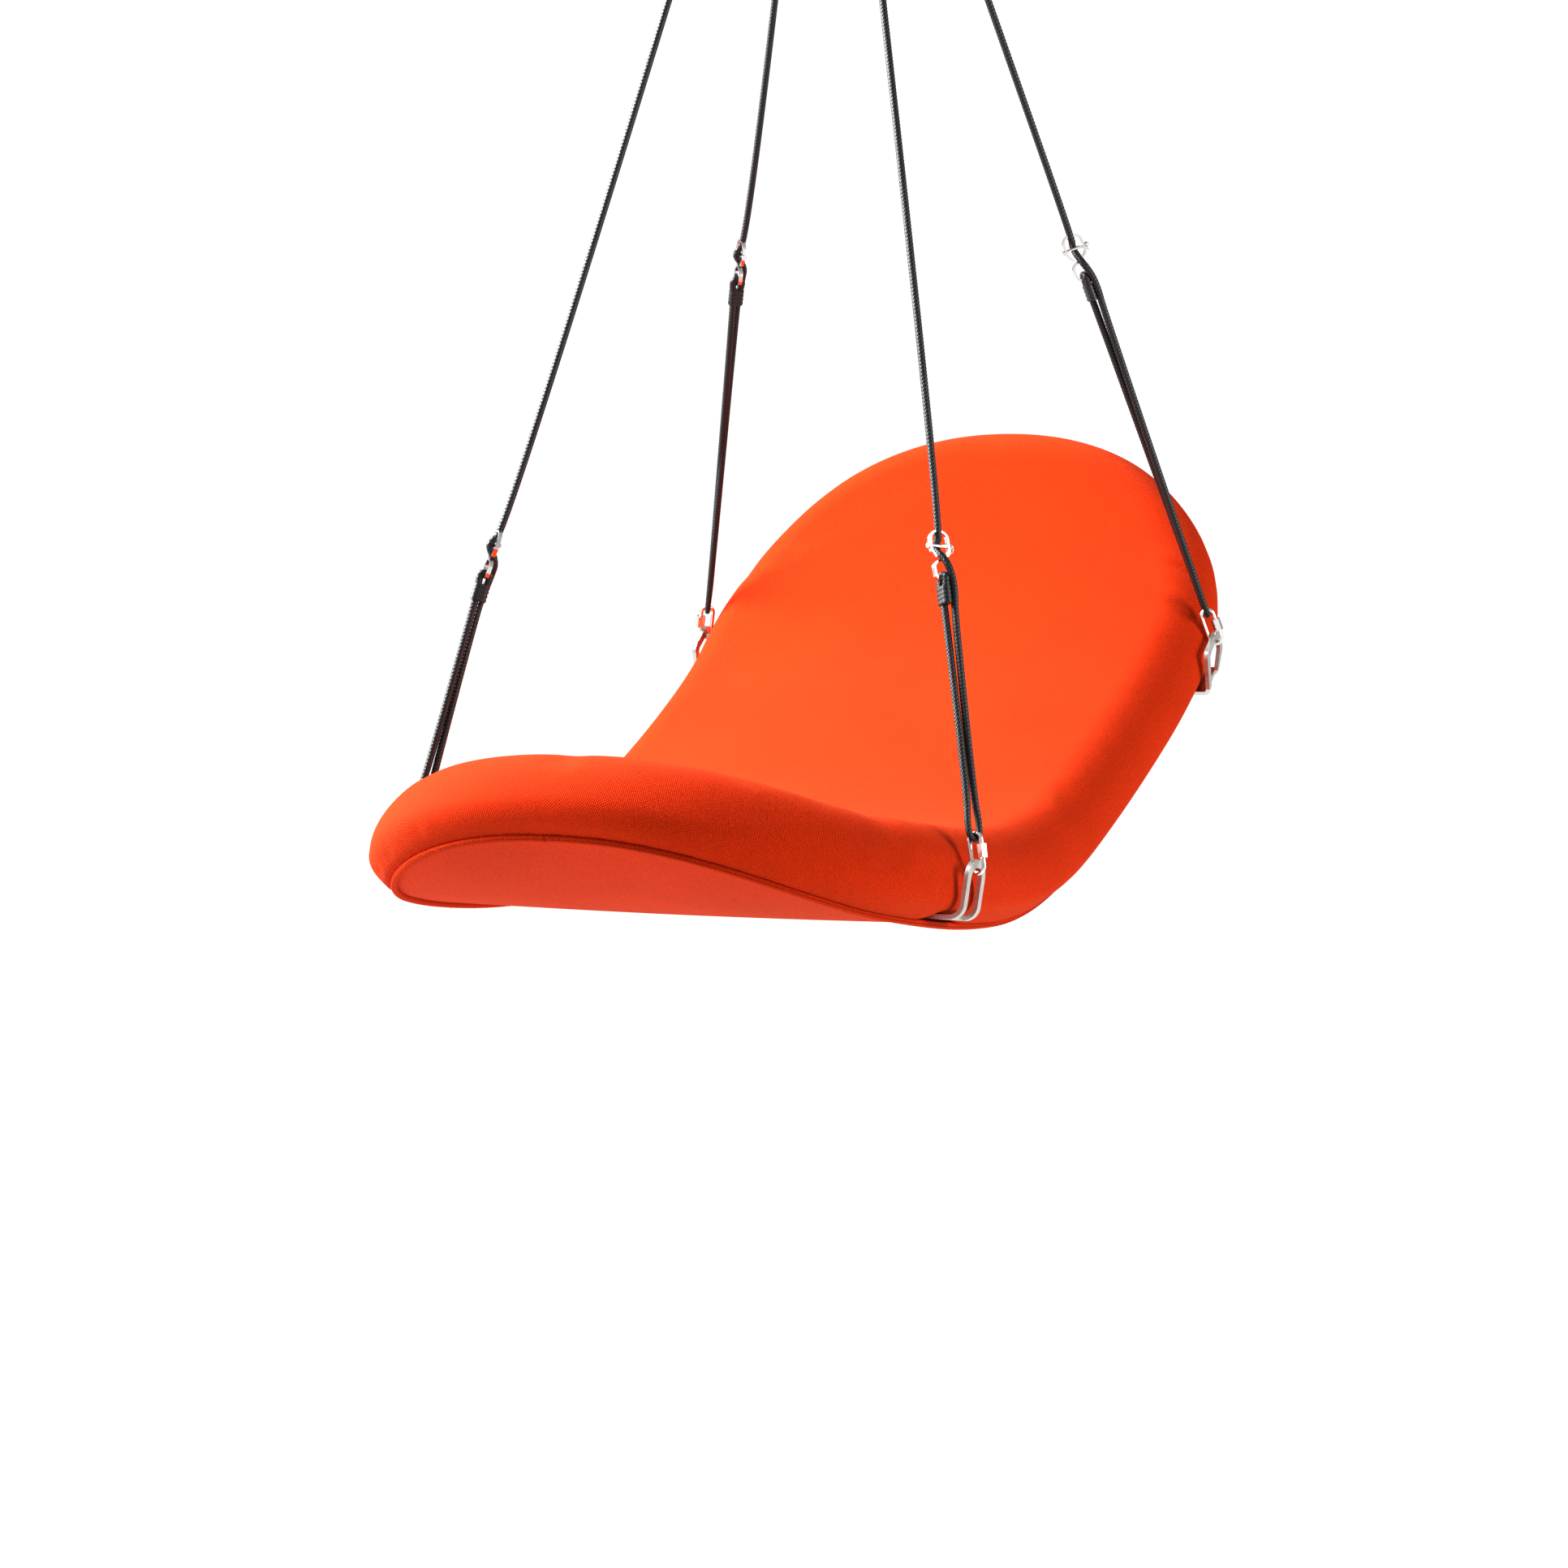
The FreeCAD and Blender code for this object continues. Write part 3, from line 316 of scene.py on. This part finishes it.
# ---- ropes -----------------------------------------------------------------------------------
# Each rope's link point, ring angle, adjuster distance, and the azimuths its adjuster and its
# doubled leg face, as the frame's own route has them, in millimetres and degrees.
ROPES = {
    "front_left": ((-346, -373, -1587), -50, 329, 45, 45),
    "front_right": ((346, -373, -1587), 27, 334, -32, 60),
    "back_left": ((-345, 385, -1359), -12, 490, 45, -65),
    "back_right": ((345, 385, -1359), 8, 483, -55, -65),
}
ROUTE = (
    ("ring", -66, 1.5, 0), ("ring", -46, 1.0, 0), ("ring", -26, -5.0, 0), ("ring", -8, -8.8, 0),
    ("ring", 9, -8.8, 0), ("ring", 9, 8.8, 0),
    ("hook", 16.5, 0, 7.6), ("hook", 0, 0, -10.0), ("hook", -16.5, 1, 7.6),
    ("hook", -36, 7.6, 8.4), ("hook", -58, 9.1, 6.7), ("hook", -80, 7.4, 5.2),
    ("link", 46, 4.5, 0), ("link", 20, 7.8, 0), ("link", 0, 6.6, 0), ("link", 0, -6.6, 0),
    ("link", 20, -7.8, 0), ("link", 46, -4.5, 0),
    ("hook", -76, 0.5, -2.4), ("hook", -52, 0, -3.9), ("hook", -43, 0, -5.9),
    ("hook", -33.6, 0, -6.1), ("hook", -33.6, 0, 6.1), ("hook", -43, 0, 5.6),
    ("hook", -50, 0, 3.9), ("hook", -57, 0, 3.6), ("hook", -64, 0, 3.8),
)
ROPE_RADIUS = 4.3 * MM
HOOK_STAND_OFF = 7.5
RING_DROP, RING_RADIUS = 90.7, 28


def square_to(vector, axis):
    return (vector - axis * vector.dot(axis)).normalized()


def azimuth(degrees):
    angle = math.radians(degrees)
    return Vector((math.cos(angle), math.sin(angle), 0))


def rope_route(corner):
    """The rope's route points in metres, from its sleeve at the ring to its sleeved end."""
    link, ring_angle, distance, hook_turn, strand_turn = ROPES[corner]
    link = Vector(link)
    angle = math.radians(ring_angle)
    ring = Vector((RING_RADIUS * math.sin(angle), 0, -RING_DROP - RING_RADIUS * math.cos(angle)))
    up = (ring - link).normalized()
    ring_wire = Vector((math.cos(angle), 0, math.sin(angle)))
    ring_slant = (1 - up.dot(ring_wire) ** 2) ** -1.3
    ring_side = square_to(Vector((0, -1 if link.y < 0 else 1, 0)), up)
    hook_out = square_to(azimuth(hook_turn), up)
    hook_side = up.cross(hook_out)
    hook = link + up * distance - hook_out * HOOK_STAND_OFF
    strand_side = square_to(azimuth(strand_turn), up)
    anchors = {"ring": (ring, ring_side, hook_out), "link": (link, strand_side, hook_out),
               "hook": (hook, hook_side, hook_out)}
    points = []
    for anchor, along, side, out in ROUTE:
        origin, sideways, outwards = anchors[anchor]
        if anchor == "ring" and along > 0:
            along *= ring_slant
        points.append((origin + up * along + sideways * side + outwards * out) * MM)
    return points


def spline_points(name, points):
    """Points read from a smooth NURBS line that has the route's points as control points."""
    curve = bpy.data.curves.new(name, "CURVE")
    curve.dimensions = "3D"
    curve.resolution_u = 24
    spline = curve.splines.new("NURBS")
    spline.points.add(len(points) - 1)
    for control, point in zip(spline.points, points):
        control.co = (*point, 1)
    spline.order_u = 3
    spline.use_endpoint_u = True
    carrier = bpy.data.objects.new(name, curve)
    line = bpy.data.meshes.new_from_object(carrier)
    read = np.array([v.co[:] for v in line.vertices])
    bpy.data.objects.remove(carrier)
    bpy.data.curves.remove(curve)
    bpy.data.meshes.remove(line)
    return read


def even_points(points, step):
    """The same line with its points at one even spacing."""
    runs = np.linalg.norm(np.diff(points, axis=0), axis=1)
    keep = np.concatenate([[True], runs > 1e-7])
    points = points[keep]
    travel = np.concatenate([[0], np.cumsum(np.linalg.norm(np.diff(points, axis=0), axis=1))])
    count = max(int(round(travel[-1] / step)), 8)
    wanted = np.linspace(0, travel[-1], count + 1)
    return np.stack([np.interp(wanted, travel, points[:, k]) for k in range(3)], 1), travel[-1]


def line_frames(points):
    """Two unit vectors square to the line at each point, carried along it without twist."""
    tangents = np.gradient(points, axis=0)
    tangents /= np.linalg.norm(tangents, axis=1)[:, None]
    start = np.cross(tangents[0], [0.31, 0.87, 0.38])
    sides = np.zeros_like(points)
    side = start / np.linalg.norm(start)
    for i, tangent in enumerate(tangents):
        side = side - tangent * side.dot(tangent)
        side /= np.linalg.norm(side)
        sides[i] = side
    return sides, np.cross(tangents, sides)


def braid_mesh(name, grid, along, around):
    """A closed tube from a grid of points (rows along, columns round), with both ends capped
    and its texture coordinates given along and round it."""
    rows, columns = grid.shape[:2]
    vertices = grid.reshape(-1, 3)
    i, j = np.meshgrid(np.arange(rows - 1), np.arange(columns), indexing="ij")
    following = (j + 1) % columns
    quads = np.stack([i * columns + j, i * columns + following,
                      (i + 1) * columns + following, (i + 1) * columns + j], -1).reshape(-1, 4)
    faces = quads.tolist()
    faces.append(list(range(columns))[::-1])
    faces.append(list(range((rows - 1) * columns, rows * columns)))
    mesh = bpy.data.meshes.new(name)
    mesh.from_pydata(vertices.tolist(), [], faces)
    layer = mesh.uv_layers.new(name="UVMap")
    u = np.stack([around[j], around[j + 1], around[j + 1], around[j]], -1).reshape(-1)
    v = np.stack([along[i], along[i], along[i + 1], along[i + 1]], -1).reshape(-1)
    both = np.zeros((len(mesh.loops), 2), dtype=np.float32)
    both[:len(u), 0] = u
    both[:len(v), 1] = v
    layer.data.foreach_set("uv", both.reshape(-1))
    mesh.polygons.foreach_set("use_smooth", [True] * len(mesh.polygons))
    mesh.validate()
    mesh.update()
    made = bpy.data.objects.new(name, mesh)
    bpy.context.collection.objects.link(made)
    return made


BRAID_PLAITS = 6
BRAID_PITCH = 26 * MM
BRAID_RELIEF = 1.0 * MM
BRAID_STEP = 0.72 * MM
ROUND_STEPS = 36
# The rope is pressed thinner where it bears on its link.
LINK_SQUEEZE = 0.7 * MM
SQUEEZE_REACH = 30 * MM


def braided_rope(corner):
    """A rope whose surface is its braid: two sets of plaits that cross over and under."""
    points, length = even_points(spline_points("line_" + corner, rope_route(corner)), BRAID_STEP)
    sides, others = line_frames(points)
    along = np.linspace(0, length, len(points))
    turn = np.arange(ROUND_STEPS) / ROUND_STEPS
    left = BRAID_PLAITS * (turn[None, :] + along[:, None] / BRAID_PITCH)
    right = BRAID_PLAITS * (turn[None, :] - along[:, None] / BRAID_PITCH)
    left_cell, right_cell = np.floor(left), np.floor(right)
    left_over = (left_cell + right_cell) % 2 == 0
    across = np.where(left_over, left - left_cell, right - right_cell) - 0.5
    lengthwise = np.where(left_over, right - right_cell, left - left_cell) - 0.5
    rise = np.sqrt(np.clip(1 - (across * 1.86) ** 2, 0, 1)) * (1 - 1.1 * lengthwise ** 2)
    above = points[:, 2] - points[:, 2].min()
    squeeze = LINK_SQUEEZE * np.exp(-(above / SQUEEZE_REACH) ** 2)
    radius = ROPE_RADIUS - BRAID_RELIEF + BRAID_RELIEF * rise - squeeze[:, None]
    angle = 2 * math.pi * turn
    grid = (points[:, None, :]
            + sides[:, None, :] * (radius * np.cos(angle))[:, :, None]
            + others[:, None, :] * (radius * np.sin(angle))[:, :, None])
    around = np.arange(ROUND_STEPS + 1) / ROUND_STEPS * BRAID_PLAITS
    rope = braid_mesh("rope_braid_" + corner, grid, along / BRAID_PITCH * BRAID_PLAITS, around)
    rope.data.materials.append(LOOKS["rope_braid"])
    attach(rope, SEAT)
    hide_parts("rope_" + corner)
    print("rope", corner, round(length, 4))


# ---- the upholstered seat --------------------------------------------------------------------
LENGTH, FRONT_END, BACK_END = 1593.0, 402.0, 381.0
HALF_FRONT, HALF_BACK, WAIST = 344.0, 347.0, 6.0
FRONT_POWER, BACK_POWER = 2.23, 2.15
HEIGHT, CROWN, TOP_ROLL, LOW_ROLL, BULGE = 103.0, 11.0, 60.0, 37.0, 29.5
BACK_SHARE, THIN_FROM, THIN_OVER = 0.855, 350.0, 600.0
START_Y, START_Z = -726.7, -1552.9
DIRECTIONS = (-39, -10.5, -1.5, 22.5, 29, 46, 70)


def profile_at(distance):
    """The seat's underside line: position and direction at distances from its front tip."""
    distance = np.asarray(distance, dtype=float)
    fine = np.linspace(0, LENGTH, 3187)
    angle = np.radians(np.interp(fine, np.linspace(0, LENGTH, len(DIRECTIONS)), DIRECTIONS))
    middle = (angle[1:] + angle[:-1]) / 2
    step = fine[1]
    y = START_Y + np.concatenate([[0], np.cumsum(np.cos(middle))]) * step
    z = START_Z + np.concatenate([[0], np.cumsum(np.sin(middle))]) * step
    inside = np.clip(distance, 0, LENGTH)
    beyond = distance - inside
    turn = np.interp(inside, fine, angle)
    return (np.interp(inside, fine, y) + beyond * np.cos(turn),
            np.interp(inside, fine, z) + beyond * np.sin(turn), turn)


def seat_points(across, distance, height):
    """Points in the row frame, in metres, from seat coordinates in millimetres."""
    y, z, turn = profile_at(distance)
    return np.stack([across + 0 * y, y - np.sin(turn) * height, z + np.cos(turn) * height], -1) * MM


def half_width(distance, inset):
    """Half the seat's width at distances from the front tip, with its outline drawn in."""
    distance = np.asarray(distance, dtype=float)
    share = np.clip((distance - FRONT_END) / (LENGTH - FRONT_END - BACK_END), 0, 1)
    width = HALF_FRONT * (1 - share) + HALF_BACK * share - WAIST * 4 * share * (1 - share) - inset
    front = np.clip((FRONT_END - distance) / (FRONT_END - inset), 0, 1)
    back = np.clip((distance - LENGTH + BACK_END) / (BACK_END - inset), 0, 1)
    front_share = (1 - front ** FRONT_POWER) ** (1 / FRONT_POWER)
    back_share = (1 - back ** BACK_POWER) ** (1 / BACK_POWER)
    return width * front_share * back_share


def fullness(distance):
    """The cushion's share of its full height, which falls off towards the back."""
    part = np.clip((np.asarray(distance, dtype=float) - THIN_FROM) / THIN_OVER, 0, 1)
    return 1 + (BACK_SHARE - 1) * part * part * (3 - 2 * part)


HALF_COLUMNS, SIDE_ROWS = 36, 168
HALF_COUNT = 2 * HALF_COLUMNS + SIDE_ROWS
SPACING_INSET = 30.0


def outline_at(station, inset):
    """Right half of the outline drawn in by inset: (across, distance) at stations from 0 to 1.
    Up to 0.25 is the front end, from 0.75 on the back end, and between them the long side."""
    station = np.asarray(station, dtype=float)
    front = np.clip(station / 0.25, 0, 1) * math.pi / 2
    back = np.clip((1 - station) / 0.25, 0, 1) * math.pi / 2
    along = np.clip((station - 0.25) / 0.5, 0, 1)
    side = FRONT_END + along * (LENGTH - FRONT_END - BACK_END)
    front_reach = (FRONT_END - inset) * np.cos(front) ** (2 / FRONT_POWER)
    back_reach = (BACK_END - inset) * np.cos(back) ** (2 / BACK_POWER)
    distance = np.where(station < 0.25, FRONT_END - front_reach,
                        np.where(station > 0.75, LENGTH - BACK_END + back_reach, side))
    share = np.clip((distance - FRONT_END) / (LENGTH - FRONT_END - BACK_END), 0, 1)
    width = HALF_FRONT * (1 - share) + HALF_BACK * share - WAIST * 4 * share * (1 - share) - inset
    across = width * np.sin(front) ** (2 / FRONT_POWER) * np.sin(back) ** (2 / BACK_POWER)
    return across, distance


def even_stations():
    """Stations that are evenly spaced along the outline drawn in by SPACING_INSET."""
    dense = np.linspace(0, 1, 20001)
    across, distance = outline_at(dense, SPACING_INSET)
    travel = np.concatenate([[0], np.cumsum(np.hypot(np.diff(across), np.diff(distance)))])
    return np.interp(np.linspace(0, travel[-1], HALF_COUNT + 1), travel, dense)


STATIONS = even_stations()


def whole_outline(inset):
    """The closed outline as (across, distance): up the right side and back down the left."""
    across, distance = outline_at(STATIONS, inset)
    return (np.concatenate([across, -across[-2:0:-1]]),
            np.concatenate([distance, distance[-2:0:-1]]))


def filled_outline(inset):
    """A grid of (across, distance) that fills the outline, its rim on the outline's own points."""
    across, distance = outline_at(STATIONS, inset)
    right = np.stack([across, distance], -1)
    left = right * [-1, 1]
    k = HALF_COLUMNS
    front = np.concatenate([left[k:0:-1], right[:k + 1]])
    back = np.concatenate([left[-k - 1:-1], right[:-k - 2:-1]])
    left_side, right_side = left[k:-k], right[k:-k]
    u = np.linspace(0, 1, 2 * k + 1)[None, :, None]
    v = np.linspace(0, 1, SIDE_ROWS + 1)[:, None, None]
    corners = ((1 - u) * (1 - v) * front[0] + u * (1 - v) * front[-1]
               + (1 - u) * v * back[0] + u * v * back[-1])
    return ((1 - v) * front[None] + v * back[None]
            + (1 - u) * left_side[:, None] + u * right_side[:, None] - corners)


def rim_indices():
    """Which of the filled grid's points lie on its rim, in the closed outline's order."""
    rows, columns = SIDE_ROWS + 1, 2 * HALF_COLUMNS + 1
    k = HALF_COLUMNS
    right = ([(0, c) for c in range(k, columns)]
             + [(r, columns - 1) for r in range(1, rows)]
             + [(rows - 1, c) for c in range(columns - 2, k - 1, -1)])
    left = ([(rows - 1, c) for c in range(k - 1, -1, -1)]
            + [(r, 0) for r in range(rows - 2, -1, -1)]
            + [(0, c) for c in range(1, k)])
    return [r * columns + c for r, c in right + left]


def crown_height(across, distance, inset):
    """Share of the crown: nothing at the roll's edge, full along the middle, smooth between."""
    width = np.maximum(half_width(distance, inset), 1.0)
    sideways = np.clip(1 - (across / width) ** 2, 0, 1) ** 1.3
    end = np.clip(np.minimum(distance - inset, LENGTH - inset - distance) / 320, 0, 1)
    return sideways * (1 - (1 - end) ** 2) ** 1.3


BRACKET_STATIONS = (363.0, 1208.0)
BRACKET_TOP = 10.6


def lifted(distance, height, inset):
    """The cover's lower edge rises over each bracket that comes out from under it."""
    lift = np.zeros_like(distance)
    for station in BRACKET_STATIONS:
        away = np.clip((np.abs(distance - station) - 25) / 26, 0, 1)
        lift = np.maximum(lift, 1 - away * away * (3 - 2 * away))
    return height + np.maximum(BRACKET_TOP - height, 0) * lift * (inset > 4)


def pucker(distance, across, from_seam):
    """Small gathers where the cover is sewn to the piping, deepest on the front curve."""
    turn = np.arctan2(across, distance - 0.45 * LENGTH)
    wave = (np.sin(turn * 171 + 1.3 * np.sin(turn * 23)) + 0.6 * np.sin(turn * 263 + 2.1)
            + 0.5 * np.sin(turn * 97 + 0.7))
    place = 0.45 + 0.55 * np.exp(-distance / 260)
    return 0.42 * wave * place * np.exp(-from_seam / 11)


LOW_STEPS, TOP_STEPS = 9, 15
COVER_THICK = 1.6
SEAM_TUCK = 1.2
BASE_HEIGHT = 3.6
FLAT_GAP = 3000


def cushion_mesh():
    """The stuffed cover: rolled rim, crowned top and a flat base, as one closed mesh.
    Returns the object and, for each point, how firmly it is sewn down."""
    grow = COVER_THICK
    rings = []
    arc = 0.0
    before = None
    for step in range(LOW_STEPS + TOP_STEPS + 1):
        if step <= LOW_STEPS:
            turn = step / LOW_STEPS * math.pi / 2
            inset = LOW_ROLL - (LOW_ROLL + grow) * math.sin(turn)
            height = BULGE - BULGE * math.cos(turn)
        else:
            turn = (step - LOW_STEPS) / TOP_STEPS * math.pi / 2
            inset = TOP_ROLL - (TOP_ROLL + grow) * math.cos(turn)
            height = BULGE + (HEIGHT + grow - BULGE) * math.sin(turn)
        if before:
            arc += math.hypot(inset - before[0], height - before[1])
        before = (inset, height)
        rings.append((inset, height, arc))
    total_arc = arc
    count = 2 * HALF_COUNT
    points, sewn, flat = [], [], []
    rim_x, rim_s = whole_outline(TOP_ROLL)
    for inset, height, arc in rings[:-1]:
        across, distance = whole_outline(inset)
        level = height * fullness(distance)
        level = level + SEAM_TUCK * math.exp(-arc / 5)
        level = lifted(distance, level, inset) + pucker(distance, across, arc)
        points.append(seat_points(across, distance, level))
        sewn.append(np.full(count, math.exp(-arc / 9)))
        way_x, way_s = across - rim_x, distance - rim_s
        size = np.maximum(np.hypot(way_x, way_s), 1e-6)
        if inset > TOP_ROLL - 1e-3:
            way_x, way_s, size = 0 * way_x, 0 * way_s, 1
        flat.append(np.stack([rim_x + way_x / size * (total_arc - arc),
                              rim_s + way_s / size * (total_arc - arc)], -1))
    top = filled_outline(TOP_ROLL)
    across, distance = top[..., 0].reshape(-1), top[..., 1].reshape(-1)
    level = (HEIGHT + grow + CROWN * crown_height(across, distance, TOP_ROLL)) * fullness(distance)
    points.append(seat_points(across, distance, level))
    sewn.append(np.zeros(len(across)))
    flat.append(np.stack([across, distance], -1))
    base = filled_outline(LOW_ROLL)
    across, distance = base[..., 0].reshape(-1), base[..., 1].reshape(-1)
    points.append(seat_points(across, distance, np.full(len(across), BASE_HEIGHT)))
    sewn.append(np.ones(len(across)))
    flat.append(np.stack([across, distance + FLAT_GAP], -1))

    faces = []
    ring_rows = len(rings) - 1
    for row in range(ring_rows - 1):
        for i in range(count):
            j = (i + 1) % count
            faces.append((row * count + i, row * count + j, (row + 1) * count + j,
                          (row + 1) * count + i))
    top_start = ring_rows * count
    base_start = top_start + (SIDE_ROWS + 1) * (2 * HALF_COLUMNS + 1)
    rim = rim_indices()
    last_ring = (ring_rows - 1) * count
    for i in range(count):
        j = (i + 1) % count
        faces.append((last_ring + i, last_ring + j, top_start + rim[j], top_start + rim[i]))
        faces.append((base_start + rim[i], base_start + rim[j], j, i))
    faces += grid_faces(top_start, False)
    faces += grid_faces(base_start, True)
    cushion = faced_object("cover_cushion", np.concatenate(points), faces,
                           np.concatenate(flat) * MM)
    return cushion, np.concatenate(sewn)


def grid_faces(start, downwards):
    """The faces of one filled grid whose first point has the index start."""
    columns = 2 * HALF_COLUMNS + 1
    faces = []
    for row in range(SIDE_ROWS):
        for column in range(columns - 1):
            a = start + row * columns + column
            face = (a, a + 1, a + columns + 1, a + columns)
            faces.append(face[::-1] if downwards else face)
    return faces


def faced_object(name, points, faces, flat):
    """A smooth mesh object whose texture coordinates are flat, one pair to each point."""
    mesh = bpy.data.meshes.new(name)
    mesh.from_pydata(points.tolist(), [], faces)
    layer = mesh.uv_layers.new(name="UVMap")
    index = np.empty(len(mesh.loops), dtype=np.int32)
    mesh.loops.foreach_get("vertex_index", index)
    layer.data.foreach_set("uv", flat[index].astype(np.float32).reshape(-1))
    mesh.polygons.foreach_set("use_smooth", [True] * len(mesh.polygons))
    mesh.update()
    made = bpy.data.objects.new(name, mesh)
    bpy.context.collection.objects.link(made)
    return made


SWELL_CAP = 5 * MM
SWELL_FRAMES = 20


def plump(cushion, sewn):
    """Lets the cover swell as cloth under a little pressure, held at its seam, then keeps it."""
    mesh = cushion.data
    count = len(mesh.vertices)
    start = np.empty(count * 3)
    mesh.vertices.foreach_get("co", start)
    start = start.reshape(-1, 3)
    group = cushion.vertex_groups.new(name="sewn")
    for index, weight in enumerate(sewn):
        group.add([index], float(min(weight + 0.04, 1)), "REPLACE")
    cloth = cushion.modifiers.new("cloth", "CLOTH")
    settings = cloth.settings
    settings.quality = 5
    settings.mass = 0.35
    settings.tension_stiffness = 20
    settings.compression_stiffness = 20
    settings.shear_stiffness = 8
    settings.bending_stiffness = 2
    settings.use_pressure = True
    settings.uniform_pressure_force = 4
    settings.vertex_group_mass = "sewn"
    settings.pin_stiffness = 3
    settings.effector_weights.gravity = 0
    cloth.collision_settings.use_collision = False
    scene = bpy.context.scene
    for step in range(1, SWELL_FRAMES + 1):
        scene.frame_set(step)
    view = cushion.evaluated_get(bpy.context.evaluated_depsgraph_get())
    swollen = np.empty(count * 3)
    view.data.vertices.foreach_get("co", swollen)
    swollen = swollen.reshape(-1, 3)
    scene.frame_set(1)
    cushion.modifiers.remove(cloth)
    move = swollen - start
    size = np.linalg.norm(move, axis=1)
    print("swell mm: mean %.2f max %.2f" % (size.mean() / MM, size.max() / MM))
    share = SWELL_CAP * np.tanh(size / SWELL_CAP) / np.maximum(size, 1e-9)
    mesh.vertices.foreach_set("co", (start + move * share[:, None]).reshape(-1))
    mesh.update()


def upholstery():
    cushion, sewn = cushion_mesh()
    plump(cushion, sewn)
    finer = cushion.modifiers.new("finer", "SUBSURF")
    finer.levels = finer.render_levels = 1
    cushion.data.materials.append(LOOKS["cover_fabric"])
    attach(cushion, SEAT)
    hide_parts("top_cover", "foam_pad", "seat_shell", "underside_padding", "tee_nuts")
    underside()
    piping()


PIPING_INSET, PIPING_HEIGHT, PIPING_RADIUS = 35.2, -1.6, 4.0
PIPING_STEP, PIPING_SIDES = 3.2, 14
LINING_INSET = PIPING_INSET + 0.6
LINING_LOW, LINING_BELLY, LINING_HIGH = 0.6, 2.8, 2.4


def underside():
    """The lining under the seat: a thin closed panel, drawn tight inside the piping."""
    grid = filled_outline(LINING_INSET)
    across, distance = grid[..., 0].reshape(-1), grid[..., 1].reshape(-1)
    belly = crown_height(across, distance, LINING_INSET)
    low = seat_points(across, distance, LINING_LOW - LINING_BELLY * belly)
    high = seat_points(across, distance, np.full(len(across), LINING_HIGH))
    count = len(across)
    faces = grid_faces(0, True) + grid_faces(count, False)
    rim = rim_indices()
    for i, here in enumerate(rim):
        following = rim[(i + 1) % len(rim)]
        faces.append((here, following, count + following, count + here))
    flat = np.concatenate([np.stack([across, distance], -1)] * 2) * MM
    panel = faced_object("underside_lining", np.concatenate([low, high]), faces, flat)
    panel.data.materials.append(LOOKS["panel_fabric"])
    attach(panel, SEAT)
    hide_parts("underside_panel")


def piping():
    """The covered cord in the seam, a closed loop round the seat, gathered a little by hand."""
    across, distance = whole_outline(PIPING_INSET)
    loop = seat_points(across, distance, PIPING_HEIGHT + 0 * across)
    closed = np.concatenate([loop, loop[:1]])
    points, length = even_points(closed, PIPING_STEP * MM)
    points = points[:-1]
    tangents = np.roll(points, -1, axis=0) - np.roll(points, 1, axis=0)
    tangents /= np.linalg.norm(tangents, axis=1)[:, None]
    outward = np.cross(tangents, np.array([0.0, 0.0, 1.0]))
    outward /= np.linalg.norm(outward, axis=1)[:, None]
    upward = np.cross(outward, tangents)
    steps = PIPING_SIDES
    angle = 2 * math.pi * np.arange(steps) / steps
    travel = np.arange(len(points))
    gather = 1 + 0.035 * np.sin(travel * 1.9) * np.sin(travel * 0.37) + 0.02 * np.sin(travel * 2.7)
    radius = PIPING_RADIUS * MM * gather[:, None]
    grid = (points[:, None] + outward[:, None] * (radius * np.cos(angle))[..., None]
            + upward[:, None] * (radius * np.sin(angle))[..., None])
    rows = len(points)
    faces = []
    for i in range(rows):
        for j in range(steps):
            a, b = i * steps + j, i * steps + (j + 1) % steps
            c, d = (i + 1) % rows * steps + (j + 1) % steps, (i + 1) % rows * steps + j
            faces.append((a, d, c, b))
    flat = np.stack(np.broadcast_arrays(travel[:, None] * PIPING_STEP, angle[None, :] * PIPING_RADIUS), -1)
    tube = faced_object("seam_piping", grid.reshape(-1, 3), faces, flat.reshape(-1, 2) * MM)
    tube.data.materials.append(LOOKS["cover_fabric"])
    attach(tube, SEAT)
    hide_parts("piping")
    print("piping", round(length, 3))


make_camera()
make_studio()
dress_cad_nodes()
for name in CORNERS:
    braided_rope(name)
upholstery()
